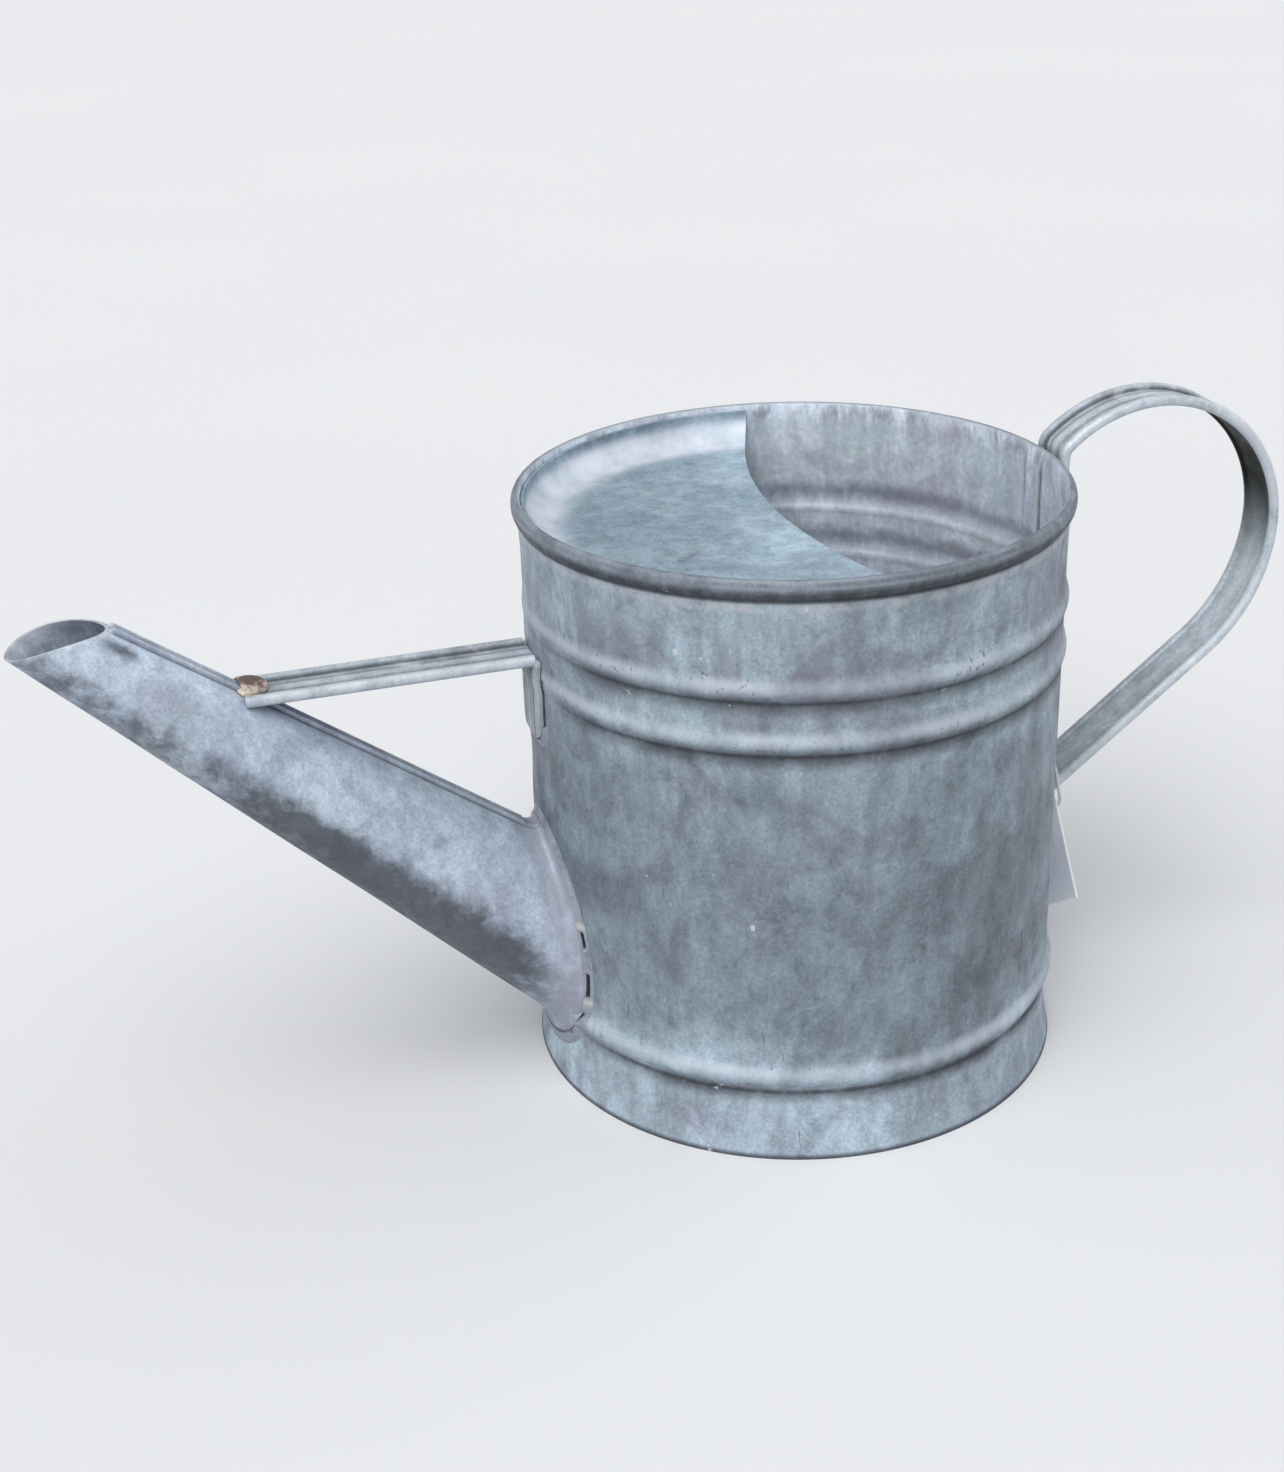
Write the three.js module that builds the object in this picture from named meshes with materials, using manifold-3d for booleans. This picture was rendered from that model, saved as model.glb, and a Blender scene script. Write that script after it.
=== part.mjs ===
// Small galvanised sheet-metal watering can.
// Millimetres, +Z up. The can's axis is Z, the spout points to -X and the handle to +X.
// The origin is on the axis, on the plane that the can stands on.

import * as THREE from 'three';
import { mergeVertices } from 'three/addons/utils/BufferGeometryUtils.js';
import Module from 'manifold-3d';

const wasm = await Module();
wasm.setup();

// ---------------------------------------------------------------- dimensions

const SHEET = 0.8; // every sheet-metal wall
const GAP = 0.3; // air left between two pieces that touch
const ROUND_SEGMENTS = 48; // facets round the body

// Body wall
const WALL_RADIUS = 70; // outside of the plain cylinder
const WALL_HEIGHT = 157.5;
const HEM_HEIGHT = 5; // the rim is rolled outward and pressed flat
const HEM_DEPTH = 1.6; // how far the rim stands out from the wall
const BEAD_HALF_WIDTH = 4;
const UPPER_BEAD_DROPS = [28, 41.5]; // crests of the two upper beads, below the rim's top
const UPPER_BEAD_RISE = 1;
const LOWER_BEAD = 23.6; // height of its crest
const LOWER_BEAD_RISE = 1.4;
const SKIRT_HEIGHT = 12; // below this the wall flares out to its foot
const SKIRT_FLARE = 1.4;
const SEAM_ANGLE = 2; // degrees from +X, lock seam up the inside of the wall
const SEAM_WIDTH = 9;
const SEAM_HEIGHT = 1;
const SEAM_BOTTOM = 10;
const SEAM_TOP_DROP = 3; // below the rim

// Base: a shallow pan inside the skirt
const PAN_FLANGE = 8;
const PAN_RING_RADIUS = 48; // middle of the ring pressed up into the base
const PAN_RING_HALF_WIDTH = 3.5;
const PAN_RING_RISE = 1.2;

// Hood: the fixed cover over the spout side of the mouth
const HOOD_DROP = 9.5; // its flat, upper face lies this far below the rim's top
const HOOD_FILLET = 8;
const HOOD_TOP_DROP = 1.4; // its upturned edge ends this far below the rim
const HOOD_EDGE_X = -1.5; // middle of the free edge
const HOOD_EDGE_RADIUS = 165; // the free edge is hollow, seen from the handle
const HOOD_SKEW = 1.3; // degrees, the cover was set slightly askew

// Spout: a cone whose axis lies in the XZ plane
const SPOUT_FOOT_DEPTH = 10; // the axis starts this far inside the wall
const SPOUT_FOOT_HEIGHT = 36;
const SPOUT_RISE = 39.9; // degrees above the horizontal
const SPOUT_FOOT_RADIUS = 21.9; // where the axis starts
const SPOUT_MOUTH_RADIUS = 10.3; // where the mouth starts
const SPOUT_SEGMENTS = 48;
const SPOUT_INSET = 13; // how far the cone is carried into the can before it is cut
const MOUTH_RIM_DROP = 14.9; // the mouth's upper edge lies this far below the rim's top
const MOUTH_DROP = 9; // degrees, the mouth plane falls this much toward the tip
const MOUTH_LENGTH = 26.5; // in that plane
const MOUTH_BOW = 2.1; // the mouth's sides stand above the plane at mid-length
const FLANGE_WIDTH = 2.8; // turned-out edge that lies on the wall
const SPOUT_SEAM_WIDTH = 4.6;
const SPOUT_SEAM_HEIGHT = 1;

// Straps: one section serves the brace and the handle
const STRAP_WIDTH = 15;
const STRAP_EDGE = 3; // diameter of the rolled edges
const STRAP_OUTER_RECESS = 1.4; // the web lies this far below the rolled edges outside
const STRAP_INNER_RECESS = 0.6; // and this far below them inside
const FOOT_SIDE_MARGIN = 0.5; // straps end in a foot on the wall, wider by this each side
const FOOT_THICKNESS = 1.2;
const FOOT_CORNER = 5;

// Brace: a level stay from the wall to the top of the spout
const BRACE_DROP = 36.3; // its centre line lies this far below the rim's top
const BRACE_TIP_OVERRUN = 1.5; // past the place where the spout's top reaches that height
const BRACE_BEND = 3.2;

// Handle: two arcs and a straight leg, in the XZ plane
const HANDLE_REACH = 29.6; // from the wall out to the centre of the upper arc
const HANDLE_DROP = 26.6; // that centre lies this far below the rim's top
const HANDLE_RADIUS = 37.8; // over the top, to the outermost point
const HANDLE_LOWER_RADIUS = 45.4; // from the outermost point down to the leg
const HANDLE_LEG_HEIGHT = 56.8; // where the leg's centre line meets the wall
const HANDLE_NECK_RADIUS = 4; // where it turns up beside the rim
const HANDLE_NECK_CLEARANCE = 0.3;
const UPPER_FOOT_DROP = 2; // below the hem
const UPPER_FOOT_LENGTH = 14.5;
const LOWER_FOOT_RISE = 1.2; // its top, above the place where the leg meets the wall
const LOWER_FOOT_LENGTH = 17;
const HANDLE_STEPS = 60;

// Solder
const SOLDER_WIDTH = 2;
const SOLDER_THICKNESS = 0.9;
const SPOUT_SLOTS = [[10.4, 15.5], [-4.2, 3.8], [-13.3, -9]]; // on the -Y side, from the foot's height
const SLOT_WIDTH = 1.3; // a slot lies between the flange and the solder
const BRACE_BREAK = [4.5, 2.2]; // open on the -Y side, from above the foot's end to below the strap
const TIP_BLOB_OFFSET = [1.2, 1, 0.8]; // from the end of the brace's centre line
const TIP_BLOB_RADII = [5.6, 5.2, 2.6];
const HOOD_SOLDER_SPAN = [22, 48]; // degrees round the hood's fillet

// Blank card tag on a plastic tie, hung by its corner from the handle's lower leg
const TAG_SIDES = [30, 23];
const TAG_THICKNESS = 0.5;
const TAG_HOLE_RADIUS = 1.6;
const TAG_MARGIN = 4; // from each edge to the hole
const TAG_OFF_WALL = 6; // from the wall out to the hole
const TAG_SIDE = -4.4; // the hole's place along Y
const TAG_DROP = 8.8; // the hole lies this far below the leg's centre line
const TIE_RADIUS = 0.45;
const TIE_CLEARANCE = 1.45; // between the tie and the strap's rolled edges

// ------------------------------------------------------------------- helpers

const radians = THREE.MathUtils.degToRad;

// Closed manifold from a three.js geometry, facing outward.
function solid(geometry, matrix) {
  const bare = geometry.clone();
  bare.deleteAttribute('normal');
  bare.deleteAttribute('uv');
  if (matrix) bare.applyMatrix4(matrix);
  const merged = mergeVertices(bare, 1e-4);
  const positions = merged.attributes.position.array;
  const corner = (i) => new THREE.Vector3().fromArray(positions, 3 * i);
  const triangles = [];
  let volume = 0;
  for (let i = 0; i < merged.index.count; i += 3) {
    const [a, b, c] = [0, 1, 2].map((k) => merged.index.getX(i + k));
    if (a === b || b === c || c === a) continue;
    triangles.push(a, b, c);
    volume += corner(a).dot(corner(b).cross(corner(c)));
  }
  const triVerts = Uint32Array.from(volume < 0 ? triangles.reverse() : triangles);
  const vertProperties = Float32Array.from(positions);
  return new wasm.Manifold(new wasm.Mesh({ numProp: 3, vertProperties, triVerts }));
}

// Turned solid about Z. A profile is a list of [radius, height].
function turned(profile, segments = ROUND_SEGMENTS) {
  const points = profile.map(([r, z]) => new THREE.Vector2(r, z));
  return solid(new THREE.LatheGeometry(points, segments), new THREE.Matrix4().makeRotationX(Math.PI / 2));
}

// Shape drawn in the YZ plane, extruded along X between two places.
function acrossX(shape, from, to) {
  const settings = { depth: to - from, bevelEnabled: false, curveSegments: 5 };
  const geometry = new THREE.ExtrudeGeometry(shape, settings);
  const basis = new THREE.Matrix4().makeBasis(
    new THREE.Vector3(0, 1, 0), new THREE.Vector3(0, 0, 1), new THREE.Vector3(1, 0, 0));
  return solid(geometry, basis.setPosition(from, 0, 0));
}

// Shape drawn in the XZ plane, extruded equally to both sides of it.
function acrossY(shape, halfWidth) {
  const settings = { depth: 2 * halfWidth, bevelEnabled: false, curveSegments: 5 };
  const geometry = new THREE.ExtrudeGeometry(shape, settings);
  const basis = new THREE.Matrix4().makeBasis(
    new THREE.Vector3(1, 0, 0), new THREE.Vector3(0, 0, 1), new THREE.Vector3(0, -1, 0));
  return solid(geometry, basis.setPosition(0, halfWidth, 0));
}

// Box between two corners, turned about Z if asked.
function block(low, high, turn = 0) {
  const size = high.map((value, i) => value - low[i]);
  const geometry = new THREE.BoxGeometry(...size);
  geometry.translate(...high.map((value, i) => (value + low[i]) / 2));
  return solid(geometry, new THREE.Matrix4().makeRotationZ(radians(turn)));
}

function ellipsoid(centre, radii) {
  const geometry = new THREE.SphereGeometry(1, 16, 10);
  const matrix = new THREE.Matrix4().makeScale(...radii).setPosition(...centre);
  return solid(geometry, matrix);
}

// ---------------------------------------------------------------- wall lines

// Crest height and rise of each bead, from the floor up.
const beads = [[LOWER_BEAD, LOWER_BEAD_RISE]];
for (const drop of [...UPPER_BEAD_DROPS].reverse()) beads.push([WALL_HEIGHT - drop, UPPER_BEAD_RISE]);

// Radius of the wall's outside at a height, beads and foot included.
function wallRadius(height) {
  let radius = WALL_RADIUS;
  for (const [crest, rise] of beads) {
    const reach = Math.abs(height - crest) / BEAD_HALF_WIDTH;
    if (reach < 1) radius += rise * (0.5 + 0.5 * Math.cos(Math.PI * reach));
  }
  const flare = Math.max(0, 1 - height / SKIRT_HEIGHT);
  return radius + SKIRT_FLARE * flare ** 1.5;
}

// Heights where the wall's line is drawn.
const wallHeights = [0, 1 / 6, 5 / 12, 1].map((share) => share * SKIRT_HEIGHT);
for (const [crest] of beads) {
  for (const step of [-1, -0.6, -0.2, 0.2, 0.6, 1]) wallHeights.push(crest + step * BEAD_HALF_WIDTH);
}
const hemBottom = WALL_HEIGHT - HEM_HEIGHT;

// The wall's outside, moved out by an offset, from the floor to the top of the rim.
function wallOutside(offset = 0) {
  const line = wallHeights.map((z) => [wallRadius(z) + offset, z]);
  const middle = WALL_HEIGHT - HEM_HEIGHT / 2;
  const half = HEM_HEIGHT / 2 + offset;
  const inner = WALL_RADIUS - SHEET;
  for (const degrees of [-65, -38, -12, 12, 38, 65, 90]) {
    const outward = WALL_RADIUS + (HEM_DEPTH + offset) * Math.cos(radians(degrees));
    line.push([outward, middle + half * Math.sin(radians(degrees))]);
  }
  line.splice(wallHeights.length, 0, [WALL_RADIUS + offset, hemBottom - offset]);
  return { line, inner };
}

// Everything inside the wall's outside, moved out by an offset.
function wallBulk(offset) {
  const { line } = wallOutside(offset);
  const top = line[line.length - 1][1];
  const foot = line[0][0];
  return turned([[0, -offset], [foot, -offset], ...line, [0, top]]);
}

// Layer of a thickness that lies on the wall.
const clearOfWall = wallBulk(GAP);
function layerOnWall(thickness) {
  return wallBulk(GAP + thickness).subtract(clearOfWall);
}

// ------------------------------------------------------------- spout helpers

const riseSin = Math.sin(radians(SPOUT_RISE));
const riseCos = Math.cos(radians(SPOUT_RISE));
const spoutDirection = new THREE.Vector3(-riseCos, 0, riseSin);
const spoutFoot = new THREE.Vector3(SPOUT_FOOT_DEPTH - WALL_RADIUS, 0, SPOUT_FOOT_HEIGHT);

// Along the axis, from its start to the place where the mouth's upper edge lies on the cone.
const mouthClimb = WALL_HEIGHT - MOUTH_RIM_DROP - SPOUT_FOOT_HEIGHT;
const spoutLength = (mouthClimb - SPOUT_MOUTH_RADIUS * riseCos) / riseSin;
const spoutTaper = (SPOUT_FOOT_RADIUS - SPOUT_MOUTH_RADIUS) / spoutLength;

// Point of the cone's top line, grown by an amount, at a place along the axis.
function spoutTop(place, grow = 0) {
  const radius = SPOUT_FOOT_RADIUS - spoutTaper * place + grow;
  const outward = new THREE.Vector3(riseSin, 0, riseCos);
  return spoutFoot.clone().addScaledVector(spoutDirection, place).addScaledVector(outward, radius);
}

// Where the top line reaches a height.
function spoutTopAtHeight(height) {
  return spoutTop((height - spoutTop(0).z) / (riseSin - spoutTaper * riseCos));
}

// Where the top line, grown by an amount, meets the wall.
function spoutTopAtWall(grow) {
  return spoutTop((spoutTop(0, grow).x + WALL_RADIUS) / (riseCos + spoutTaper * riseSin), grow);
}

// The spout's cone, grown by an amount, between two places along its axis.
function spoutCone(grow, from = -SPOUT_INSET, to = spoutLength + MOUTH_LENGTH) {
  const radiusAt = (place) => SPOUT_FOOT_RADIUS - spoutTaper * place + grow;
  const geometry = new THREE.CylinderGeometry(radiusAt(to), radiusAt(from), to - from, SPOUT_SEGMENTS);
  const turn = new THREE.Quaternion().setFromUnitVectors(new THREE.Vector3(0, 1, 0), spoutDirection);
  const middle = spoutFoot.clone().addScaledVector(spoutDirection, (from + to) / 2);
  return solid(geometry, new THREE.Matrix4().compose(middle, turn, new THREE.Vector3(1, 1, 1)));
}

// Slab that stands on the spout's axis and follows it, as wide as the seam.
function seamSlab(width) {
  const height = SPOUT_FOOT_RADIUS + 20;
  const geometry = new THREE.BoxGeometry(2 * (spoutLength + MOUTH_LENGTH), width, height);
  geometry.translate(0, 0, height / 2);
  const matrix = new THREE.Matrix4().makeRotationY(radians(SPOUT_RISE));
  return solid(geometry, matrix.setPosition(spoutFoot));
}

function spoutSeam(grow) {
  const ridge = spoutCone(SPOUT_SEAM_HEIGHT + grow).subtract(spoutCone(-SHEET / 2));
  return ridge.intersect(seamSlab(SPOUT_SEAM_WIDTH + 2 * grow));
}

// Everything above the mouth: a plane with a bowed crown along its middle.
function aboveMouth() {
  const slab = new THREE.BoxGeometry(3 * MOUTH_LENGTH, 80, 60);
  slab.translate(-MOUTH_LENGTH, 0, 30);
  const bowRadius = (MOUTH_LENGTH ** 2 / 4 + MOUTH_BOW ** 2) / (2 * MOUTH_BOW);
  const crown = new THREE.CylinderGeometry(bowRadius, bowRadius, 90, 120);
  crown.translate(-MOUTH_LENGTH / 2, 0, MOUTH_BOW - bowRadius);
  const matrix = new THREE.Matrix4().makeRotationY(radians(-MOUTH_DROP));
  matrix.setPosition(spoutTop(spoutLength));
  return solid(slab, matrix).subtract(solid(crown, matrix));
}

// ------------------------------------------------------------- strap helpers

const strapWeb = STRAP_EDGE - STRAP_OUTER_RECESS - STRAP_INNER_RECESS;
const footHalfWidth = STRAP_WIDTH / 2 + FOOT_SIDE_MARGIN;

// Section with rolled edges and a flat web. Its +Y side is the inside of a bend.
function strapSection(grow = 0) {
  const edge = STRAP_EDGE / 2 + grow;
  const centre = (STRAP_WIDTH - STRAP_EDGE) / 2;
  const inside = STRAP_EDGE / 2 - STRAP_INNER_RECESS + grow;
  const outside = STRAP_EDGE / 2 - STRAP_OUTER_RECESS + grow;
  const up = Math.asin(inside / edge);
  const down = Math.asin(-outside / edge);
  const shape = new THREE.Shape();
  shape.absarc(-centre, 0, edge, up, 2 * Math.PI + down, false);
  shape.absarc(centre, 0, edge, Math.PI - down, 3 * Math.PI - up, false);
  shape.closePath();
  return shape;
}

// Outline of a foot in the YZ plane: square at the top, rounded at the bottom.
function footOutline([bottom, top], grow = 0) {
  const side = footHalfWidth + grow;
  const low = bottom - grow;
  const radius = FOOT_CORNER + grow;
  const shape = new THREE.Shape();
  shape.moveTo(side, top);
  shape.lineTo(-side, top);
  shape.absarc(-side + radius, low + radius, radius, Math.PI, 1.5 * Math.PI, false);
  shape.absarc(side - radius, low + radius, radius, 1.5 * Math.PI, 2 * Math.PI, false);
  shape.closePath();
  return shape;
}

// Which side of the can a foot is on: -1 for the spout side, 1 for the handle side.
function prismOnSide(shape, side) {
  const [near, far] = [WALL_RADIUS - 15, WALL_RADIUS + 15];
  return side < 0 ? acrossX(shape, -far, -near) : acrossX(shape, near, far);
}

function foot(span, side) {
  return layerOnWall(FOOT_THICKNESS).intersect(prismOnSide(footOutline(span), side));
}

// Solder laid round a foot, from its rounded end up to just below its top.
function footSolder([bottom, top], side) {
  const outer = prismOnSide(footOutline([bottom, top - 1.5], GAP + SOLDER_WIDTH), side);
  const inner = prismOnSide(footOutline([bottom, top + 5], GAP), side);
  return layerOnWall(SOLDER_THICKNESS).intersect(outer.subtract(inner));
}

// ----------------------------------------------------------------- body wall

function bodyWall() {
  const { line, inner } = wallOutside();
  const innerLine = wallHeights.map((z) => [wallRadius(z) - SHEET, z]).reverse();
  const rimTop = WALL_HEIGHT - SHEET;
  let wall = turned([...line, [inner, rimTop], ...innerLine, line[0]]);

  const seamLine = (depth) => wallHeights
    .map((z) => [wallRadius(z) - SHEET - depth, z])
    .filter(([, z]) => z > SEAM_BOTTOM);
  const seamTop = WALL_HEIGHT - SEAM_TOP_DROP;
  const back = [...seamLine(-SHEET / 2), [inner + SHEET / 2, seamTop]];
  const face = [...seamLine(SEAM_HEIGHT), [inner - SEAM_HEIGHT, seamTop]];
  const ring = turned([...back, ...face.reverse(), back[0]]);
  const halfSeam = SEAM_WIDTH / 2;
  const strip = block([0, -halfSeam, 0], [2 * WALL_RADIUS, halfSeam, WALL_HEIGHT], SEAM_ANGLE);
  wall = wall.add(ring.intersect(strip));

  return wall.subtract(spoutCone(-SHEET, -SPOUT_INSET, spoutLength / 2));
}

// ---------------------------------------------------------------------- base

function basePlate() {
  const outside = (z) => wallRadius(z) - SHEET - GAP;
  const rise = [0, 1 / 4, 5 / 8, 1].map((share) => share * PAN_FLANGE);
  const [ringIn, ringOut] = [PAN_RING_RADIUS - PAN_RING_HALF_WIDTH, PAN_RING_RADIUS + PAN_RING_HALF_WIDTH];
  const lift = PAN_RING_RISE;
  const under = [[0, 0], [ringIn, 0], [ringIn + lift, lift], [ringOut - lift, lift], [ringOut, 0]];
  const flangeOut = rise.map((z) => [outside(z), z]);
  const flangeIn = rise.slice(1).map((z) => [outside(z) - SHEET, z]).reverse();
  const floorEdge = [outside(SHEET) - SHEET, SHEET];
  const over = under.map(([r, z]) => [r, z + SHEET]).reverse();
  return turned([...under, ...flangeOut, ...flangeIn, floorEdge, ...over]);
}

// ---------------------------------------------------------------------- hood

const hoodHeight = WALL_HEIGHT - HOOD_DROP;
const hoodRim = WALL_RADIUS - SHEET - GAP;

// Points of an arc about the centre of the hood's fillet, at angles from the horizontal.
function filletArc(radius, angles) {
  const centre = [hoodRim - HOOD_FILLET, hoodHeight - SHEET + HOOD_FILLET];
  return angles.map((degrees) => [
    centre[0] + radius * Math.cos(radians(degrees)),
    centre[1] + radius * Math.sin(radians(degrees)),
  ]);
}

function hood() {
  const top = WALL_HEIGHT - HOOD_TOP_DROP;
  const angles = [-90, -70, -50, -30, -12, 0];
  const lower = filletArc(HOOD_FILLET, angles);
  const upper = filletArc(HOOD_FILLET - SHEET, angles).reverse();
  const upright = [[hoodRim, top], [hoodRim - SHEET, top]];
  const dish = turned([[0, hoodHeight - SHEET], ...lower, ...upright, ...upper, [0, hoodHeight]]);
  return dish.subtract(beyondHoodEdge());
}

// Everything on the open side of the hood's free edge.
function beyondHoodEdge() {
  const geometry = new THREE.CylinderGeometry(HOOD_EDGE_RADIUS, HOOD_EDGE_RADIUS, 60, 240);
  geometry.translate(HOOD_EDGE_X + HOOD_EDGE_RADIUS, 0, 0);
  const upright = new THREE.Matrix4().makeRotationX(Math.PI / 2);
  const matrix = new THREE.Matrix4().makeRotationZ(radians(HOOD_SKEW)).multiply(upright);
  return solid(geometry, matrix.setPosition(0, 0, WALL_HEIGHT));
}

// Solder run along the wall, under the hood's fillet.
function hoodSolder() {
  const [start, end] = HOOD_SOLDER_SPAN;
  const arc = filletArc(HOOD_FILLET + GAP, [-start, -(start + end) / 2, -end]);
  const top = arc[0][1];
  const bottom = arc[2][1] - SOLDER_THICKNESS;
  return turned([...arc, [hoodRim, bottom], [hoodRim, top], arc[0]]).subtract(beyondHoodEdge());
}

// --------------------------------------------------------------------- spout

function spout() {
  const bore = spoutCone(-SHEET);
  const tube = spoutCone(0).add(spoutSeam(0)).subtract(clearOfWall);
  const flange = layerOnWall(SHEET).intersect(spoutCone(FLANGE_WIDTH));
  return tube.add(flange).subtract(bore).subtract(aboveMouth());
}

// Solder round the spout's flange, with short open slots along the flange on one side.
function spoutSolder() {
  const inner = spoutCone(FLANGE_WIDTH + GAP);
  const outer = spoutCone(FLANGE_WIDTH + GAP + SOLDER_WIDTH);
  const slotEdge = spoutCone(FLANGE_WIDTH + GAP + SLOT_WIDTH);
  let ring = layerOnWall(SOLDER_THICKNESS).intersect(outer.subtract(inner));
  for (const [low, high] of SPOUT_SLOTS) {
    const corners = [[-2 * WALL_RADIUS, -WALL_RADIUS, low], [0, 0, high]];
    const [from, to] = corners.map(([x, y, offset]) => [x, y, SPOUT_FOOT_HEIGHT + offset]);
    ring = ring.subtract(block(from, to).intersect(slotEdge));
  }
  return ring;
}

// --------------------------------------------------------------------- brace

const braceHeight = WALL_HEIGHT - BRACE_DROP;
const braceTipX = spoutTopAtHeight(braceHeight).x - BRACE_TIP_OVERRUN;

// The foot reaches halfway down to the spout's joint.
const braceFootBottom = (braceHeight + spoutTopAtWall(FLANGE_WIDTH + GAP + SOLDER_WIDTH).z) / 2;

// The straight run of the brace's strap, grown by an amount, from its tip to inside the wall.
function braceRun(grow) {
  const length = -(WALL_RADIUS - STRAP_EDGE) - braceTipX;
  const geometry = new THREE.ExtrudeGeometry(strapSection(grow),
    { depth: length + grow, bevelEnabled: false, curveSegments: 3 });
  const basis = new THREE.Matrix4().makeBasis(
    new THREE.Vector3(0, -1, 0), new THREE.Vector3(0, 0, -1), new THREE.Vector3(1, 0, 0));
  return solid(geometry, basis.setPosition(braceTipX - grow, 0, braceHeight));
}

function brace() {
  const bottom = braceHeight - STRAP_EDGE / 2 + STRAP_INNER_RECESS;
  const face = -(WALL_RADIUS + UPPER_BEAD_RISE + GAP + FOOT_THICKNESS);
  const bend = new THREE.Shape();
  bend.moveTo(face + FOOT_THICKNESS, bottom + strapWeb);
  bend.lineTo(face - BRACE_BEND, bottom + strapWeb);
  bend.lineTo(face - BRACE_BEND, bottom);
  bend.absarc(face - BRACE_BEND, bottom - BRACE_BEND, BRACE_BEND, Math.PI / 2, 0, true);
  bend.lineTo(face + FOOT_THICKNESS + UPPER_BEAD_RISE, bottom - BRACE_BEND);
  bend.closePath();
  const halfWeb = (STRAP_WIDTH - STRAP_EDGE) / 2;
  return braceRun(0)
    .add(acrossY(bend, halfWeb))
    .subtract(clearOfWall)
    .add(foot([braceFootBottom, braceHeight], -1))
    .subtract(spoutCone(GAP))
    .subtract(spoutSeam(GAP));
}

function braceFootSolder() {
  const [low, high] = [braceFootBottom + BRACE_BREAK[0], braceHeight - BRACE_BREAK[1]];
  const open = block([-2 * WALL_RADIUS, -STRAP_WIDTH, low], [0, 0, high]);
  return footSolder([braceFootBottom, braceHeight - STRAP_EDGE], -1).subtract(open);
}

// The blob sits on the strap and runs over its end, never under it.
function braceTipSolder() {
  const under = block([braceTipX - GAP, -STRAP_WIDTH, 0], [0, STRAP_WIDTH, braceHeight]);
  const [x, y, z] = TIP_BLOB_OFFSET;
  return ellipsoid([braceTipX + x, y, braceHeight + z], TIP_BLOB_RADII)
    .subtract(under)
    .subtract(braceRun(GAP))
    .subtract(spoutCone(GAP))
    .subtract(spoutSeam(GAP));
}

// -------------------------------------------------------------------- handle

const handleX = WALL_RADIUS + HANDLE_REACH;
const handleZ = WALL_HEIGHT - HANDLE_DROP;
const lowerArcX = handleX + HANDLE_RADIUS - HANDLE_LOWER_RADIUS;

// The leg leaves the lower arc at the angle from which it runs straight to its place on the wall.
const [legOut, legUp] = [WALL_RADIUS - lowerArcX, HANDLE_LEG_HEIGHT - handleZ];
const legAngle = Math.atan2(legUp, legOut) + Math.acos(HANDLE_LOWER_RADIUS / Math.hypot(legOut, legUp));
const legSlope = legAngle + Math.PI / 2;

// Height of the leg's centre line.
function legHeight(x) {
  return HANDLE_LEG_HEIGHT + (x - WALL_RADIUS) * Math.tan(legSlope);
}

const upperFootTop = hemBottom - UPPER_FOOT_DROP;
const lowerFootTop = HANDLE_LEG_HEIGHT + LOWER_FOOT_RISE;
const upperFoot = [upperFootTop - UPPER_FOOT_LENGTH, upperFootTop];
const lowerFoot = [lowerFootTop - LOWER_FOOT_LENGTH, lowerFootTop];

// Centre line of the handle, drawn in the XZ plane.
class SideCurve extends THREE.Curve {
  constructor(path) {
    super();
    this.path = path;
  }

  getPoint(t) {
    const { x, y } = this.path.getPoint(t);
    return new THREE.Vector3(x, 0, y);
  }
}

function handleLine() {
  const neckX = WALL_RADIUS + HEM_DEPTH + HANDLE_NECK_CLEARANCE + STRAP_EDGE / 2;
  const neckCentreX = neckX + HANDLE_NECK_RADIUS;
  const apart = HANDLE_RADIUS - HANDLE_NECK_RADIUS;
  const neckCentreZ = handleZ + Math.sqrt(apart ** 2 - (handleX - neckCentreX) ** 2);
  const joinAngle = Math.atan2(neckCentreZ - handleZ, neckCentreX - handleX);
  const footX = WALL_RADIUS + STRAP_EDGE / 2;
  const footZ = (upperFoot[0] + upperFoot[1]) / 2;
  const middleZ = (footZ + neckCentreZ) / 2;

  const line = new THREE.Path();
  line.moveTo(footX, footZ);
  line.bezierCurveTo(footX, middleZ, neckX, middleZ, neckX, neckCentreZ);
  line.absarc(neckCentreX, neckCentreZ, HANDLE_NECK_RADIUS, Math.PI, joinAngle, true);
  line.absarc(handleX, handleZ, HANDLE_RADIUS, joinAngle, 0, true);
  line.absarc(lowerArcX, handleZ, HANDLE_LOWER_RADIUS, 0, legAngle, true);
  const legEndX = WALL_RADIUS - STRAP_EDGE;
  line.lineTo(legEndX, legHeight(legEndX));
  return new SideCurve(line);
}

function handle() {
  const geometry = new THREE.ExtrudeGeometry(strapSection(),
    { steps: HANDLE_STEPS, extrudePath: handleLine(), bevelEnabled: false, curveSegments: 3 });
  return solid(geometry)
    .subtract(clearOfWall)
    .add(foot(upperFoot, 1))
    .add(foot(lowerFoot, 1));
}

// ----------------------------------------------------------------------- tag

const tagHoleX = WALL_RADIUS + TAG_OFF_WALL;
const tagHole = [tagHoleX, TAG_SIDE, legHeight(tagHoleX) - TAG_DROP];

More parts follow.
